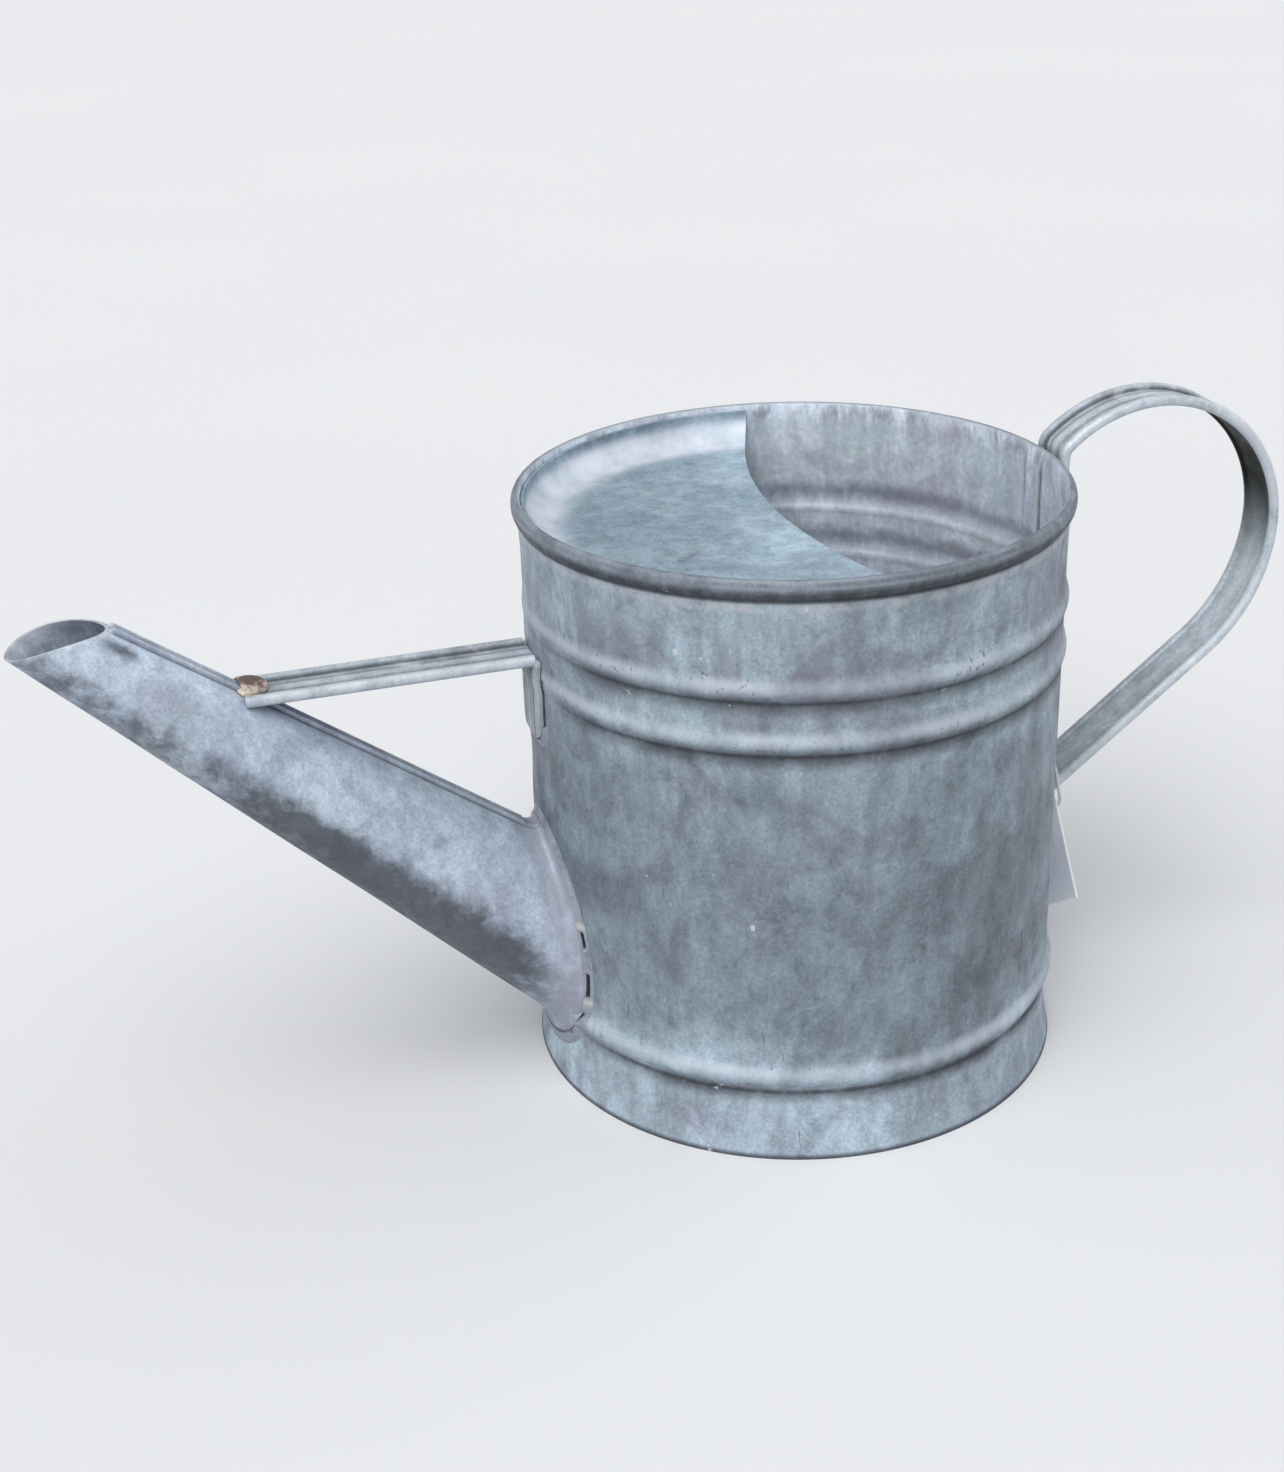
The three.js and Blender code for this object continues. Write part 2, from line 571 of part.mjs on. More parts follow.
// The card hangs with its middle straight below its hole.
function paperTag() {
  const [long, short] = TAG_SIDES;
  const lean = Math.atan2(short / 2 - TAG_MARGIN, long / 2 - TAG_MARGIN);
  const card = new THREE.Shape();
  card.moveTo(-TAG_MARGIN, TAG_MARGIN);
  card.lineTo(-TAG_MARGIN, TAG_MARGIN - long);
  card.lineTo(short - TAG_MARGIN, TAG_MARGIN - long);
  card.lineTo(short - TAG_MARGIN, TAG_MARGIN);
  card.closePath();
  const hole = new THREE.Path();
  hole.absarc(0, 0, TAG_HOLE_RADIUS, 0, 2 * Math.PI, false);
  card.holes.push(hole);
  const flat = acrossX(card, -TAG_THICKNESS / 2, TAG_THICKNESS / 2);
  return flat.rotate([-THREE.MathUtils.radToDeg(lean), 0, 0]).translate(tagHole);
}

// The tie passes through the card's hole and round the handle's leg. Places along X and Z are
// taken from the hole, places along Y from the leg's middle.
function tagTie() {
  const side = STRAP_WIDTH / 2 + TIE_CLEARANCE + TIE_RADIUS;
  const stations = [
    [-1.6, TAG_SIDE + 0.9, 0.6], [0, TAG_SIDE, 0], [1.5, TAG_SIDE - 0.6, 0.8], [0.8, 1.8 - side, 4.6],
    [-0.8, -side, 8.9], [-0.4, 2.9 - side, 13.4], [0, 0, 15], [-0.6, side - 2.4, 13.2],
    [-1.3, side, 8.4], [-1.6, side - 3.4, 4.2], [-1.7, 0, 2.6],
  ];
  const [holeX, , holeZ] = tagHole;
  const points = stations.map(([x, y, z]) => new THREE.Vector3(holeX + x, y, holeZ + z));
  const line = new THREE.CatmullRomCurve3(points);
  const section = new THREE.Shape().absarc(0, 0, TIE_RADIUS, 0, 2 * Math.PI, false);
  return solid(new THREE.ExtrudeGeometry(section,
    { steps: 48, extrudePath: line, bevelEnabled: false, curveSegments: 4 }));
}

// --------------------------------------------------------------------- scene

const zinc = (color, roughness = 0.55) => ({ color, roughness, metalness: 0.8 });
const solder = { color: 0xb9bbbd, roughness: 0.5, metalness: 0.7 };

const pieces = {
  body_wall: [bodyWall(), zinc(0x7d8a93)],
  base_plate: [basePlate(), zinc(0x76838b)],
  hood: [hood(), zinc(0x8496a1, 0.5)],
  hood_solder: [hoodSolder(), solder],
  spout: [spout(), zinc(0x8593a2)],
  spout_solder: [spoutSolder(), solder],
  brace: [brace(), zinc(0x9098a4)],
  brace_foot_solder: [braceFootSolder(), solder],
  brace_tip_solder: [braceTipSolder(), { color: 0x7a6458, roughness: 0.85, metalness: 0.2 }],
  handle: [handle(), zinc(0x808c92)],
  handle_top_solder: [footSolder(upperFoot, 1), solder],
  handle_foot_solder: [footSolder(lowerFoot, 1), solder],
  paper_tag: [paperTag(), { color: 0xe3e5ef, roughness: 0.9, metalness: 0 }],
  tag_tie: [tagTie(), { color: 0xdcdcdc, roughness: 0.6, metalness: 0 }],
};

const group = new THREE.Group();
group.name = 'watering_can';
for (const [name, [piece, look]] of Object.entries(pieces)) {
  const { vertProperties, triVerts } = piece.getMesh();
  const geometry = new THREE.BufferGeometry();
  geometry.setAttribute('position', new THREE.BufferAttribute(vertProperties, 3));
  geometry.setIndex(new THREE.BufferAttribute(triVerts, 1));
  geometry.computeVertexNormals();
  const mesh = new THREE.Mesh(geometry, new THREE.MeshStandardMaterial(look));
  mesh.name = name;
  group.add(mesh);
}

export default group;
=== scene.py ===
"""Looks of a small weathered galvanised watering can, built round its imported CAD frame."""

import math

import bmesh
import bpy
import numpy as np
from mathutils import Matrix, Vector, noise


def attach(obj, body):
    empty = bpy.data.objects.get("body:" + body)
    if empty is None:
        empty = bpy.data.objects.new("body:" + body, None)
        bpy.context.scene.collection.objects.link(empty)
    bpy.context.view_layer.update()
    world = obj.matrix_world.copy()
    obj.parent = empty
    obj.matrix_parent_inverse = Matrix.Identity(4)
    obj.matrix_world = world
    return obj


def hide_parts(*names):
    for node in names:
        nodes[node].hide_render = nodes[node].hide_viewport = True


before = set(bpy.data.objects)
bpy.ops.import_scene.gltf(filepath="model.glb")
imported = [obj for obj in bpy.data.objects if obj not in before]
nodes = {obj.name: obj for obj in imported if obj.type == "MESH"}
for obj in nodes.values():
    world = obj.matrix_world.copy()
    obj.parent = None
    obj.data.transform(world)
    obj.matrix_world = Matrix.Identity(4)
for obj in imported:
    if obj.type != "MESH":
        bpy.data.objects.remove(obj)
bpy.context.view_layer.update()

MM = 0.001

# ------------------------------------------------------------------ sizes, mm
SHEET = 0.8
GAP = 0.3
WALL_RADIUS = 70.0
WALL_HEIGHT = 157.5
HEM_HEIGHT = 5.0
HEM_DEPTH = 1.6
UPPER_BEADS = (129.5, 116.0)
UPPER_RISE = 1.0
LOWER_BEAD = 23.6
LOWER_RISE = 1.4
BEAD_HALF = 4.0
SKIRT_HEIGHT = 12.0
SKIRT_FLARE = 1.4
SEAM_ANGLE = 2.0
SEAM_WIDTH = 9.0
SEAM_BOTTOM = 10.0
WALL_COLUMNS = 480
WALL_STEP = 0.9

HOOD_HEIGHT = 148.0
HOOD_FILLET = 8.0
HOOD_TOP = 156.1
HOOD_EDGE_X = -1.5
HOOD_EDGE_RADIUS = 165.0
HOOD_SKEW = 1.3

SPOUT_FOOT = Vector((-60.0, 0.0, 36.0))
SPOUT_RISE = math.radians(39.9)
SPOUT_LENGTH = 153.87
SPOUT_FOOT_RADIUS = 21.9
SPOUT_MOUTH_RADIUS = 10.3
MOUTH_DROP = math.radians(9.0)
MOUTH_LENGTH = 26.5
MOUTH_BOW = 2.1
FLANGE_WIDTH = 2.8
SOLDER_WIDTH = 2.0
SLOT_WIDTH = 1.3
SPOUT_SLOTS = ((10.4, 15.5), (-4.2, 3.8), (-13.3, -9.0))
SEAM_RIDGE_WIDTH = 4.6
SEAM_RIDGE_HEIGHT = 1.0

# The spout's frame: along it, towards its top line, and sideways; and how fast it narrows
AXIS = Vector((-math.cos(SPOUT_RISE), 0, math.sin(SPOUT_RISE)))
UP = Vector((math.sin(SPOUT_RISE), 0, math.cos(SPOUT_RISE)))
SIDE = Vector((0, 1, 0))
TAPER = (SPOUT_FOOT_RADIUS - SPOUT_MOUTH_RADIUS) / SPOUT_LENGTH

STRAP_WIDTH = 15.0
STRAP_EDGE = 3.0
OUTER_RECESS = 1.4
INNER_RECESS = 0.6
FOOT_HALF_WIDTH = 8.0
FOOT_THICKNESS = 1.2
FOOT_CORNER = 5.0

BRACE_HEIGHT = 121.2
BRACE_TIP_X = -143.0
BRACE_FOOT_BOTTOM = 98.7

# The handle's radii are 0.05 under the CAD's, to stay inside its box
HANDLE_X = 99.6
HANDLE_Z = 130.9
HANDLE_RADIUS = 37.65
HANDLE_LOWER_RADIUS = 45.25
HANDLE_LEG_SLOPE = math.radians(37.5)
HANDLE_NECK_RADIUS = 4.0
UPPER_FOOT = (136.0, 150.5)
LOWER_FOOT = (41.0, 58.0)

# Edges that turn by more degrees than this stay sharp
WALL_SMOOTH = 50
STRAP_SMOOTH = 40
SPOUT_SMOOTH = 48
SOLDER_SMOOTH = 60


# -------------------------------------------------------------- mesh helpers

def smooth(t):
    t = max(0.0, min(1.0, t))
    return t * t * (3 - 2 * t)


def bisect(low, high, below):
    """The place between low and high where below(place) stops being true."""
    for _ in range(50):
        middle = (low + high) / 2
        if below(middle):
            low = middle
        else:
            high = middle
    return low


def crease(mesh, smooth_angle, weld=False):
    """Shade a mesh smooth, with the edges sharper than that angle kept sharp."""
    bm = bmesh.new()
    bm.from_mesh(mesh)
    if weld:
        bmesh.ops.remove_doubles(bm, verts=bm.verts, dist=2e-6)
        bmesh.ops.recalc_face_normals(bm, faces=bm.faces)
    limit = math.radians(smooth_angle)
    for edge in bm.edges:
        edge.smooth = len(edge.link_faces) != 2 or edge.calc_face_angle(0) < limit
    for face in bm.faces:
        face.smooth = True
    bm.to_mesh(mesh)
    bm.free()


def make_object(name, verts, faces, smooth_angle):
    """Mesh object from millimetre vertices."""
    mesh = bpy.data.meshes.new(name)
    mesh.from_pydata([(x * MM, y * MM, z * MM) for x, y, z in verts], [], faces)
    crease(mesh, smooth_angle, weld=True)
    obj = bpy.data.objects.new(name, mesh)
    bpy.context.scene.collection.objects.link(obj)
    return obj


def grid(rows, close_rows=False, close_columns=False, base=0):
    """Vertices and quads of a grid of points. rows is a list of equal lists."""
    count = len(rows[0])
    verts = [p for row in rows for p in row]
    faces = []
    last_row = len(rows) if close_rows else len(rows) - 1
    last_column = count if close_columns else count - 1
    for i in range(last_row):
        for j in range(last_column):
            a = i * count + j
            b = i * count + (j + 1) % count
            c = ((i + 1) % len(rows)) * count + (j + 1) % count
            d = ((i + 1) % len(rows)) * count + j
            faces.append([base + v for v in (a, b, c, d)])
    return verts, faces


def shell(upper, lower):
    """Closed sheet between two grids of the same size."""
    verts, faces = grid(upper)
    shift = len(verts)
    lower_verts, lower_faces = grid(lower, base=shift)
    faces += [f[::-1] for f in lower_faces]
    rows, count = len(upper) - 1, len(upper[0])
    ends = [(i * count + k, (i + 1) * count + k) for i in range(rows) for k in (0, count - 1)]
    sides = [(i * count + k, i * count + k + 1) for k in range(count - 1) for i in (0, rows)]
    faces += [[a, b, b + shift, a + shift] for a, b in ends + sides]
    return verts + lower_verts, faces


def round_point(radius, angle, z):
    """Point at that radius and angle round the can's axis."""
    return (radius * math.cos(angle), radius * math.sin(angle), z)


def wobble(x, y, z, size, seed):
    """Smooth, seeded noise from about -1 to 1 with features of that size in mm."""
    return noise.noise(Vector((x / size + seed, y / size - seed, z / size + 2 * seed)))


def cut(obj, cutter, smooth_angle):
    """Take a temporary cutter's shape out of an object, and delete the cutter."""
    modifier = obj.modifiers.new("cut", "BOOLEAN")
    modifier.object = cutter
    modifier.operation = "DIFFERENCE"
    modifier.solver = "EXACT"
    graph = bpy.context.evaluated_depsgraph_get()
    result = bpy.data.meshes.new_from_object(obj.evaluated_get(graph))
    obj.modifiers.remove(modifier)
    old = obj.data
    obj.data = result
    bpy.data.meshes.remove(old)
    bpy.data.objects.remove(cutter)
    crease(obj.data, smooth_angle)


def set_attributes(obj, **functions):
    """Float attributes on the vertices, from functions of their place in mm."""
    for name, function in functions.items():
        layer = obj.data.attributes.new(name, "FLOAT", "POINT")
        layer.data.foreach_set("value", [function(*(v.co / MM)) for v in obj.data.vertices])


def dress(obj, material):
    obj.data.materials.clear()
    obj.data.materials.append(material)


def finished(obj, material, replaced):
    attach(obj, "root")
    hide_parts(replaced)
    dress(obj, material)


# ------------------------------------------------------------ material helpers

class Graph:
    """Small helper that lays out shader nodes."""

    def __init__(self, name, metallic, specular):
        self.material = bpy.data.materials.new(name)
        self.material.use_nodes = True
        self.tree = self.material.node_tree
        self.tree.nodes.clear()
        self.shader = self.add("ShaderNodeBsdfPrincipled",
                               {"Metallic": metallic, "Specular IOR Level": specular})
        self.add("ShaderNodeOutputMaterial", {0: self.shader.outputs[0]})
        self.place = self.add("ShaderNodeTexCoord").outputs["Object"]

    def add(self, kind, inputs=None, **settings):
        """Node with its settings and its inputs."""
        node = self.tree.nodes.new(kind)
        for key, value in settings.items():
            setattr(node, key, value)
        self.fill(node, inputs or {})
        return node

    def fill(self, node, inputs):
        """Gives a node's inputs a number, a colour or another node's output each."""
        for key, value in inputs.items():
            socket = node.inputs[key]
            if isinstance(value, bpy.types.NodeSocket):
                self.tree.links.new(value, socket)
            elif socket.type == "RGBA":
                socket.default_value = (*value, 1.0)
            else:
                socket.default_value = value

    def mapped(self, location, scale):
        """The object's own coordinates, in metres, scaled and moved."""
        return self.add("ShaderNodeMapping", {
            "Location": location, "Scale": scale, "Vector": self.place}).outputs[0]

    def noise(self, size_mm, detail=4.0, roughness=0.55, distortion=0.0, seed=0.0,
              stretch=(1, 1, 1)):
        """Noise whose features are about that size."""
        scale = [s / (size_mm * MM) for s in stretch]
        return self.add("ShaderNodeTexNoise", {
            "Scale": 1.0, "Detail": detail, "Roughness": roughness, "Distortion": distortion,
            "Vector": self.mapped((seed, seed * 1.7, -seed), scale)}).outputs["Fac"]

    def cells(self, size_mm, seed=0.0):
        """Soft cells about that far apart."""
        vector = self.mapped((seed, -seed, seed * 2), (1 / (size_mm * MM),) * 3)
        return self.add("ShaderNodeTexVoronoi", {"Scale": 1.0, "Smoothness": 0.6, "Vector": vector},
                        feature="SMOOTH_F1").outputs["Distance"]

    def ramp(self, value, low, high, out_low=0.0, out_high=1.0):
        """Soft step of a value from out_low at low to out_high at high."""
        return self.add("ShaderNodeMapRange", {
            "Value": value, "From Min": low, "From Max": high, "To Min": out_low,
            "To Max": out_high}, interpolation_type="SMOOTHSTEP").outputs[0]

    def ramp_mm(self, place, low, high, *outs):
        """A ramp of a place in metres, between two places in mm."""
        return self.ramp(place, low * MM, high * MM, *outs)

    def math(self, operation, a, b):
        return self.add("ShaderNodeMath", {0: a, 1: b}, operation=operation).outputs[0]

    def mix(self, base, colour, amount, blend="MIX"):
        """base and colour are colours or sockets, amount a number or a socket."""
        return self.add("ShaderNodeMix", {0: amount, 6: base, 7: colour},
                        data_type="RGBA", blend_type=blend).outputs[2]

    def times(self, first, *others):
        for other in others:
            first = self.math("MULTIPLY", first, other)
        return first

    def paint(self, base, colour, *amounts):
        """Colour laid over a base, as much as the product of the amounts."""
        return self.mix(base, colour, self.times(*amounts))

    def shade(self, colour, factor):
        """Colour multiplied by a grey socket."""
        node = self.add("ShaderNodeCombineColor", {0: factor, 1: factor, 2: factor})
        return self.mix(colour, node.outputs[0], 1.0, "MULTIPLY")

    def axis(self, which):
        """Place along an axis, in metres."""
        return self.add("ShaderNodeSeparateXYZ", {0: self.place}).outputs[which]

    def band(self, coordinate, centre_mm, half_mm):
        """1 at a place along an axis, fading to 0 at half_mm to either side."""
        offset = self.math("SUBTRACT", coordinate, centre_mm * MM)
        apart = self.math("ABSOLUTE", offset, 0.0)
        return self.ramp_mm(apart, 0.0, half_mm, 1.0, 0.0)

    def away(self, centre, radii):
        """Distance from a place, in multiples of the three radii, all in metres."""
        vector = self.mapped([-c / r for c, r in zip(centre, radii)], [1 / r for r in radii])
        return self.add("ShaderNodeVectorMath", {0: vector}, operation="LENGTH").outputs["Value"]

    def attribute(self, name):
        return self.add("ShaderNodeAttribute", attribute_name=name).outputs["Fac"]

    def finish(self, colour, roughness, height=None, bump_mm=0.15, strength=0.6):
        self.fill(self.shader, {"Base Color": colour, "Roughness": roughness})
        if height is not None:
            bump = self.add("ShaderNodeBump", {"Strength": strength, "Distance": bump_mm * MM,
                                               "Height": height})
            self.fill(self.shader, {"Normal": bump.outputs[0]})
        return self.material


def linear(r, g, b):
    """Linear colour from 0-255 display values."""
    def one(v):
        v /= 255
        return v / 12.92 if v <= 0.04045 else ((v + 0.055) / 1.055) ** 2.4
    return (one(r), one(g), one(b))


def zinc(name, pale, mid, purple, green, seed, dark_amount=0.5, purple_amount=0.5, extra=None):
    """Weathered zinc: cloudy patches, dull spots, a fine grain and pale scuffs."""
    g = Graph(name, metallic=0.25, specular=0.35)
    clouds = g.noise(42, detail=5, roughness=0.6, distortion=0.7, seed=seed)
    patches = g.noise(24, detail=6, roughness=0.62, distortion=1.0, seed=seed + 4)
    mottle = g.noise(7.5, detail=5, roughness=0.66, distortion=0.6, seed=seed + 9)
    blots = g.cells(5.2, seed=seed + 2)
    drawn = g.noise(5.0, detail=5, roughness=0.62, distortion=0.3, seed=seed + 25,
                    stretch=(1, 1, 0.32))
    grain = g.noise(0.85, detail=3, roughness=0.7, seed=seed + 13)
    fine = g.noise(2.4, detail=4, roughness=0.7, seed=seed + 17)

    colour = g.mix(pale, mid, g.ramp(clouds, 0.40, 0.62))
    colour = g.paint(colour, purple, g.ramp(patches, 0.46, 0.66), purple_amount)
    colour = g.paint(colour, green, g.ramp(clouds, 0.56, 0.36), 0.35)
    dull = g.times(g.ramp(blots, 0.56, 0.20, 0.0, 0.6), g.ramp(mottle, 0.42, 0.66))
    dark = g.mix(colour, (0.45, 0.44, 0.47), dark_amount, "MULTIPLY")
    colour = g.mix(colour, dark, dull)
    colour = g.paint(colour, dark, g.ramp(mottle, 0.52, 0.72), 0.55)
    bright = g.mix(colour, (0.78, 0.80, 0.84), 0.45)
    colour = g.paint(colour, bright, g.ramp(fine, 0.60, 0.80), 0.55)
    coarse = g.noise(1.9, detail=3, roughness=0.75, seed=seed + 21)
    speckle = g.times(g.ramp(grain, 0.3, 0.7, 0.86, 1.12), g.ramp(coarse, 0.32, 0.68, 0.93, 1.06),
                      g.ramp(drawn, 0.34, 0.66, 0.86, 1.12))
    colour = g.shade(colour, speckle)
    if extra:
        colour = extra(g, colour)
    roughness = g.ramp(mottle, 0.3, 0.7, 0.48, 0.66)
    height = g.math("ADD", g.times(fine, 0.5), g.times(grain, 0.35))
    return g.finish(colour, roughness, height, bump_mm=0.22, strength=0.45)


# ------------------------------------------------------------------ materials

PALE = linear(162, 177, 190)
MID = linear(131, 144, 154)
PURPLE = linear(120, 120, 134)
GREEN = linear(116, 136, 138)
# Near-black for soot, specks and scratches, and also for painted shade below the beads and on and
# under the hem
SOOT_AND_SHADE = (0.030, 0.029, 0.034)

# For each bead, in mm: its height; the drop, half height and strength of the painted shade below
# it;
# and the rise of the painted highlight outside and of the dark band inside
BEAD_MARKS = ((UPPER_BEADS[0], 3.3, 4.2, 0.74, 1.3, 4.1),
              (UPPER_BEADS[1], 3.4, 4.4, 0.78, 1.3, 4.2),
              (LOWER_BEAD, 4.7, 4.0, 0.76, 1.4, 4.0))


def wall_marks(g, colour):
    """Painted shade below the beads, on the hem and under it, with some soot on the hem; painted
    highlights above the beads and on the hem; darker along the bottom edge; specks, scratches and
    chips.
    """
    z = g.axis(2)
    ragged = g.noise(3.0, detail=4, seed=31)
    drift = g.noise(18, detail=3, seed=33)
    uneven = g.noise(26, detail=5, roughness=0.6, distortion=0.8, seed=35, stretch=(1, 1, 0.6))
    height = g.math("ADD", z, g.ramp(uneven, 0.3, 0.7, -8 * MM, 8 * MM))
    colour = g.shade(colour, g.ramp_mm(height, 16, 34, 1.34, 0.72))
    colour = g.shade(colour, g.ramp_mm(height, 70, 92, 1.0, 1.12))
    colour = g.shade(colour, g.ramp_mm(height, 98, 122, 1.0, 1.34))
    purple = g.times(g.band(height, 138, 16), g.ramp(uneven, 0.44, 0.60, 0.0, 0.55))
    colour = g.mix(colour, linear(116, 114, 128), purple)
    formed = g.attribute("formed")
    # Painted shade below each bead: a soft dark band and a near-black core along its crease
    for crest, drop, half, amount, *_ in BEAD_MARKS:
        soft = g.times(g.band(z, crest - drop, half), g.ramp(drift, 0.30, 0.60, 0.55, 1.0), formed)
        colour = g.paint(colour, linear(52, 54, 62), soft, amount)
        core = g.times(g.band(z, crest - drop + 0.4, 1.1),
                       g.ramp(ragged, 0.30, 0.55, 0.45, 1.0), formed)
        colour = g.paint(colour, SOOT_AND_SHADE, core, amount)
    # Painted highlight on each bead's upper flank
    for crest, *_, rise, _ in BEAD_MARKS:
        lit = g.times(g.band(z, crest + rise, 2.9), g.ramp(drift, 0.38, 0.62, 0.35, 0.8))
        colour = g.paint(colour, linear(190, 198, 208), lit, 0.75)
    specks = g.noise(1.5, detail=3, seed=45)
    near = g.math("ADD", g.band(z, 131, 9), g.math("ADD", g.band(z, 114, 6), g.band(z, 20, 5)))
    colour = g.paint(colour, SOOT_AND_SHADE, g.ramp(specks, 0.60, 0.68), near,
                     g.ramp(drift, 0.42, 0.58), 0.55)
    rim = g.attribute("rim")
    # Painted shade on the lower half of the hem's outside, mixed with soot
    colour = g.paint(colour, SOOT_AND_SHADE, rim, g.ramp_mm(z, 155.8, 153.8, 0.45, 0.92),
                     g.ramp(ragged, 0.25, 0.6, 0.80, 1.0))
    # Painted highlight along the hem's rounded face
    colour = g.paint(colour, linear(138, 144, 156), g.band(z, 155.7, 0.7), rim,
                     g.ramp(drift, 0.42, 0.6, 0.1, 0.7))
    # Paler top edge of the hem: painted highlight, broken into worn patches
    colour = g.paint(colour, linear(152, 160, 170), g.ramp_mm(z, 156.6, 157.3),
                     g.ramp(drift, 0.40, 0.60, 0.08, 0.60))
    colour = g.paint(colour, linear(182, 182, 188), g.band(z, 150.4, 1.9),
                     g.ramp(ragged, 0.35, 0.6, 0.1, 0.6))
    # Painted shade in the crease under the hem
    colour = g.paint(colour, SOOT_AND_SHADE, g.band(z, 152.0, 0.9), 0.65)
    # Darker along the bottom edge
    colour = g.paint(colour, SOOT_AND_SHADE, g.ramp_mm(z, 1.8, 0.3), 0.85)
    streak = g.noise(1.3, detail=2, seed=41, stretch=(1.0, 1.0, 0.13))
    place = g.noise(17, detail=2, seed=43)
    colour = g.paint(colour, SOOT_AND_SHADE, g.ramp(streak, 0.66, 0.75), g.ramp(place, 0.54, 0.64), 0.55)
    chip = g.noise(2.6, detail=3, seed=53)
    spots = g.noise(13, detail=1, seed=57)
    colour = g.paint(colour, linear(214, 218, 222), g.ramp(chip, 0.66, 0.72),
                     g.ramp(spots, 0.58, 0.66), 0.6)
    return inner_marks(g, colour, z)


def inner_marks(g, colour, z):
    """The inside: pale blue grey with run marks, dark bands along the beads, painted shade over the
    upper beads' bright inner side, dark lines at the seam.
    """
    runs = g.noise(6.5, detail=6, roughness=0.66, distortion=0.5, seed=151, stretch=(1, 1, 0.30))
    cloud = g.noise(15, detail=5, roughness=0.6, distortion=0.8, seed=153)
    fine = g.noise(1.6, detail=4, roughness=0.7, seed=155)
    inner = g.mix(linear(219, 229, 241), linear(186, 196, 211), g.ramp(runs, 0.36, 0.66))
    inner = g.paint(inner, linear(178, 176, 190), g.ramp(cloud, 0.48, 0.64), 0.6)
    inner = g.paint(inner, linear(182, 198, 198), g.ramp(cloud, 0.46, 0.34), 0.5)
    inner = g.shade(inner, g.ramp(fine, 0.3, 0.7, 0.86, 1.10))
    for crest, *_, rise in BEAD_MARKS:
        inner = g.paint(inner, linear(96, 102, 112), g.band(z, crest + rise, 2.6),
                        g.ramp(cloud, 0.36, 0.58, 0.10, 0.42))
    # Painted shade toning down the bright inner side of the upper beads
    for crest in UPPER_BEADS:
        inner = g.paint(inner, linear(150, 155, 168), g.band(z, crest - 1.6, 3.2), 0.5)
    inner = g.paint(inner, linear(112, 112, 114), g.band(z, 155, 4),
                    g.ramp(runs, 0.46, 0.64, 0.0, 0.55))
    inner = g.paint(inner, linear(70, 80, 80), g.attribute("seam"),
                    g.ramp(runs, 0.30, 0.55, 0.6, 1.0), 0.85)
    inner = g.paint(inner, linear(206, 206, 196), g.attribute("lip"), 0.6)
    return g.mix(colour, inner, g.attribute("inside"))


def spout_marks(g, colour):
    """Painted shade along the underside and inside the bore, soot by the seam, pale mouth and dull
    joint.
    """
    cloudy = g.noise(8, detail=6, roughness=0.68, distortion=0.3, seed=61)
    # Painted shade on the underside and in the bore, with a cloudy edge
    amount = g.math("ADD", g.attribute("stain"), g.ramp(cloudy, 0.33, 0.67, -0.20, 0.20))
    stained = g.mix(colour, linear(60, 61, 67), 0.84)
    colour = g.mix(colour, stained, g.ramp(amount, 0.18, 1.0))
    colour = g.paint(colour, SOOT_AND_SHADE, g.attribute("line"), 0.88)
    ragged = g.noise(4, detail=4, seed=63)
    colour = g.paint(colour, linear(212, 214, 220), g.attribute("edge"),
                     g.ramp(ragged, 0.30, 0.62, 0.15, 0.75))
    return g.paint(colour, linear(148, 149, 163), g.attribute("joint"),
                   g.ramp(cloudy, 0.3, 0.6, 0.40, 0.80))


def strap_marks(g, colour):
    """Dark grooves, paler rolled edges and crown as painted highlight with wear, pale patches, and
    painted shade inside the bend and under the brace.
    """
    colour = g.paint(colour, SOOT_AND_SHADE, g.attribute("line"), 0.78)
    ragged = g.noise(5, detail=4, seed=67, stretch=(0.5, 1, 0.5))
    # Painted highlight along the rolled edges and the crown, broken up like wear
    colour = g.paint(colour, linear(214, 219, 224), g.attribute("edge"),
                     g.ramp(ragged, 0.35, 0.62, 0.05, 0.5))
    patch = g.noise(13, detail=3, roughness=0.55, distortion=0.5, seed=73)
    colour = g.mix(colour, linear(222, 224, 226), g.ramp(patch, 0.60, 0.72, 0.0, 0.55))
    # Painted shade inside the handle's bend and under the brace
    return g.mix(colour, linear(18, 24, 18), g.attribute("stain"))


def hood_marks(g, colour):
    """Whitish painted highlight where the hood turns up, paler towards the handle, and a short
    crease.
    """
    ragged = g.noise(11, detail=4, seed=71)
    # Painted highlight along the fold where the hood turns up
    colour = g.paint(colour, linear(212, 216, 226), g.attribute("edge"),
                     g.ramp(ragged, 0.25, 0.65, 0.45, 0.95))
    brighter = g.math("SUBTRACT", g.axis(0), g.times(g.axis(1), 0.35))
    colour = g.shade(colour, g.ramp_mm(brighter, -42, 10, 1.0, 1.42))
    return g.paint(colour, linear(92, 100, 112), g.attribute("line"), 0.6)


wall_zinc = zinc("wall_zinc", PALE, MID, PURPLE, GREEN, 1.0, 0.55, 0.62, wall_marks)
hood_zinc = zinc("hood_zinc", linear(160, 178, 191), linear(130, 150, 162), linear(134, 142, 157),
                 linear(120, 146, 150), 5.0, 0.35, 0.35, hood_marks)
spout_zinc = zinc("spout_zinc", linear(192, 204, 221), linear(168, 181, 198), linear(152, 156, 172),
                  linear(166, 182, 190), 9.0, 0.45, 0.50, spout_marks)
strap_zinc = zinc("strap_zinc", linear(190, 199, 208), linear(168, 180, 189), linear(158, 160, 172),
                  linear(164, 180, 180), 13.0, 0.40, 0.45, strap_marks)
base_zinc = zinc("base_zinc", linear(150, 162, 172), linear(120, 132, 140), linear(112, 112, 122),
                 linear(112, 126, 124), 17.0, 0.60, 0.6)


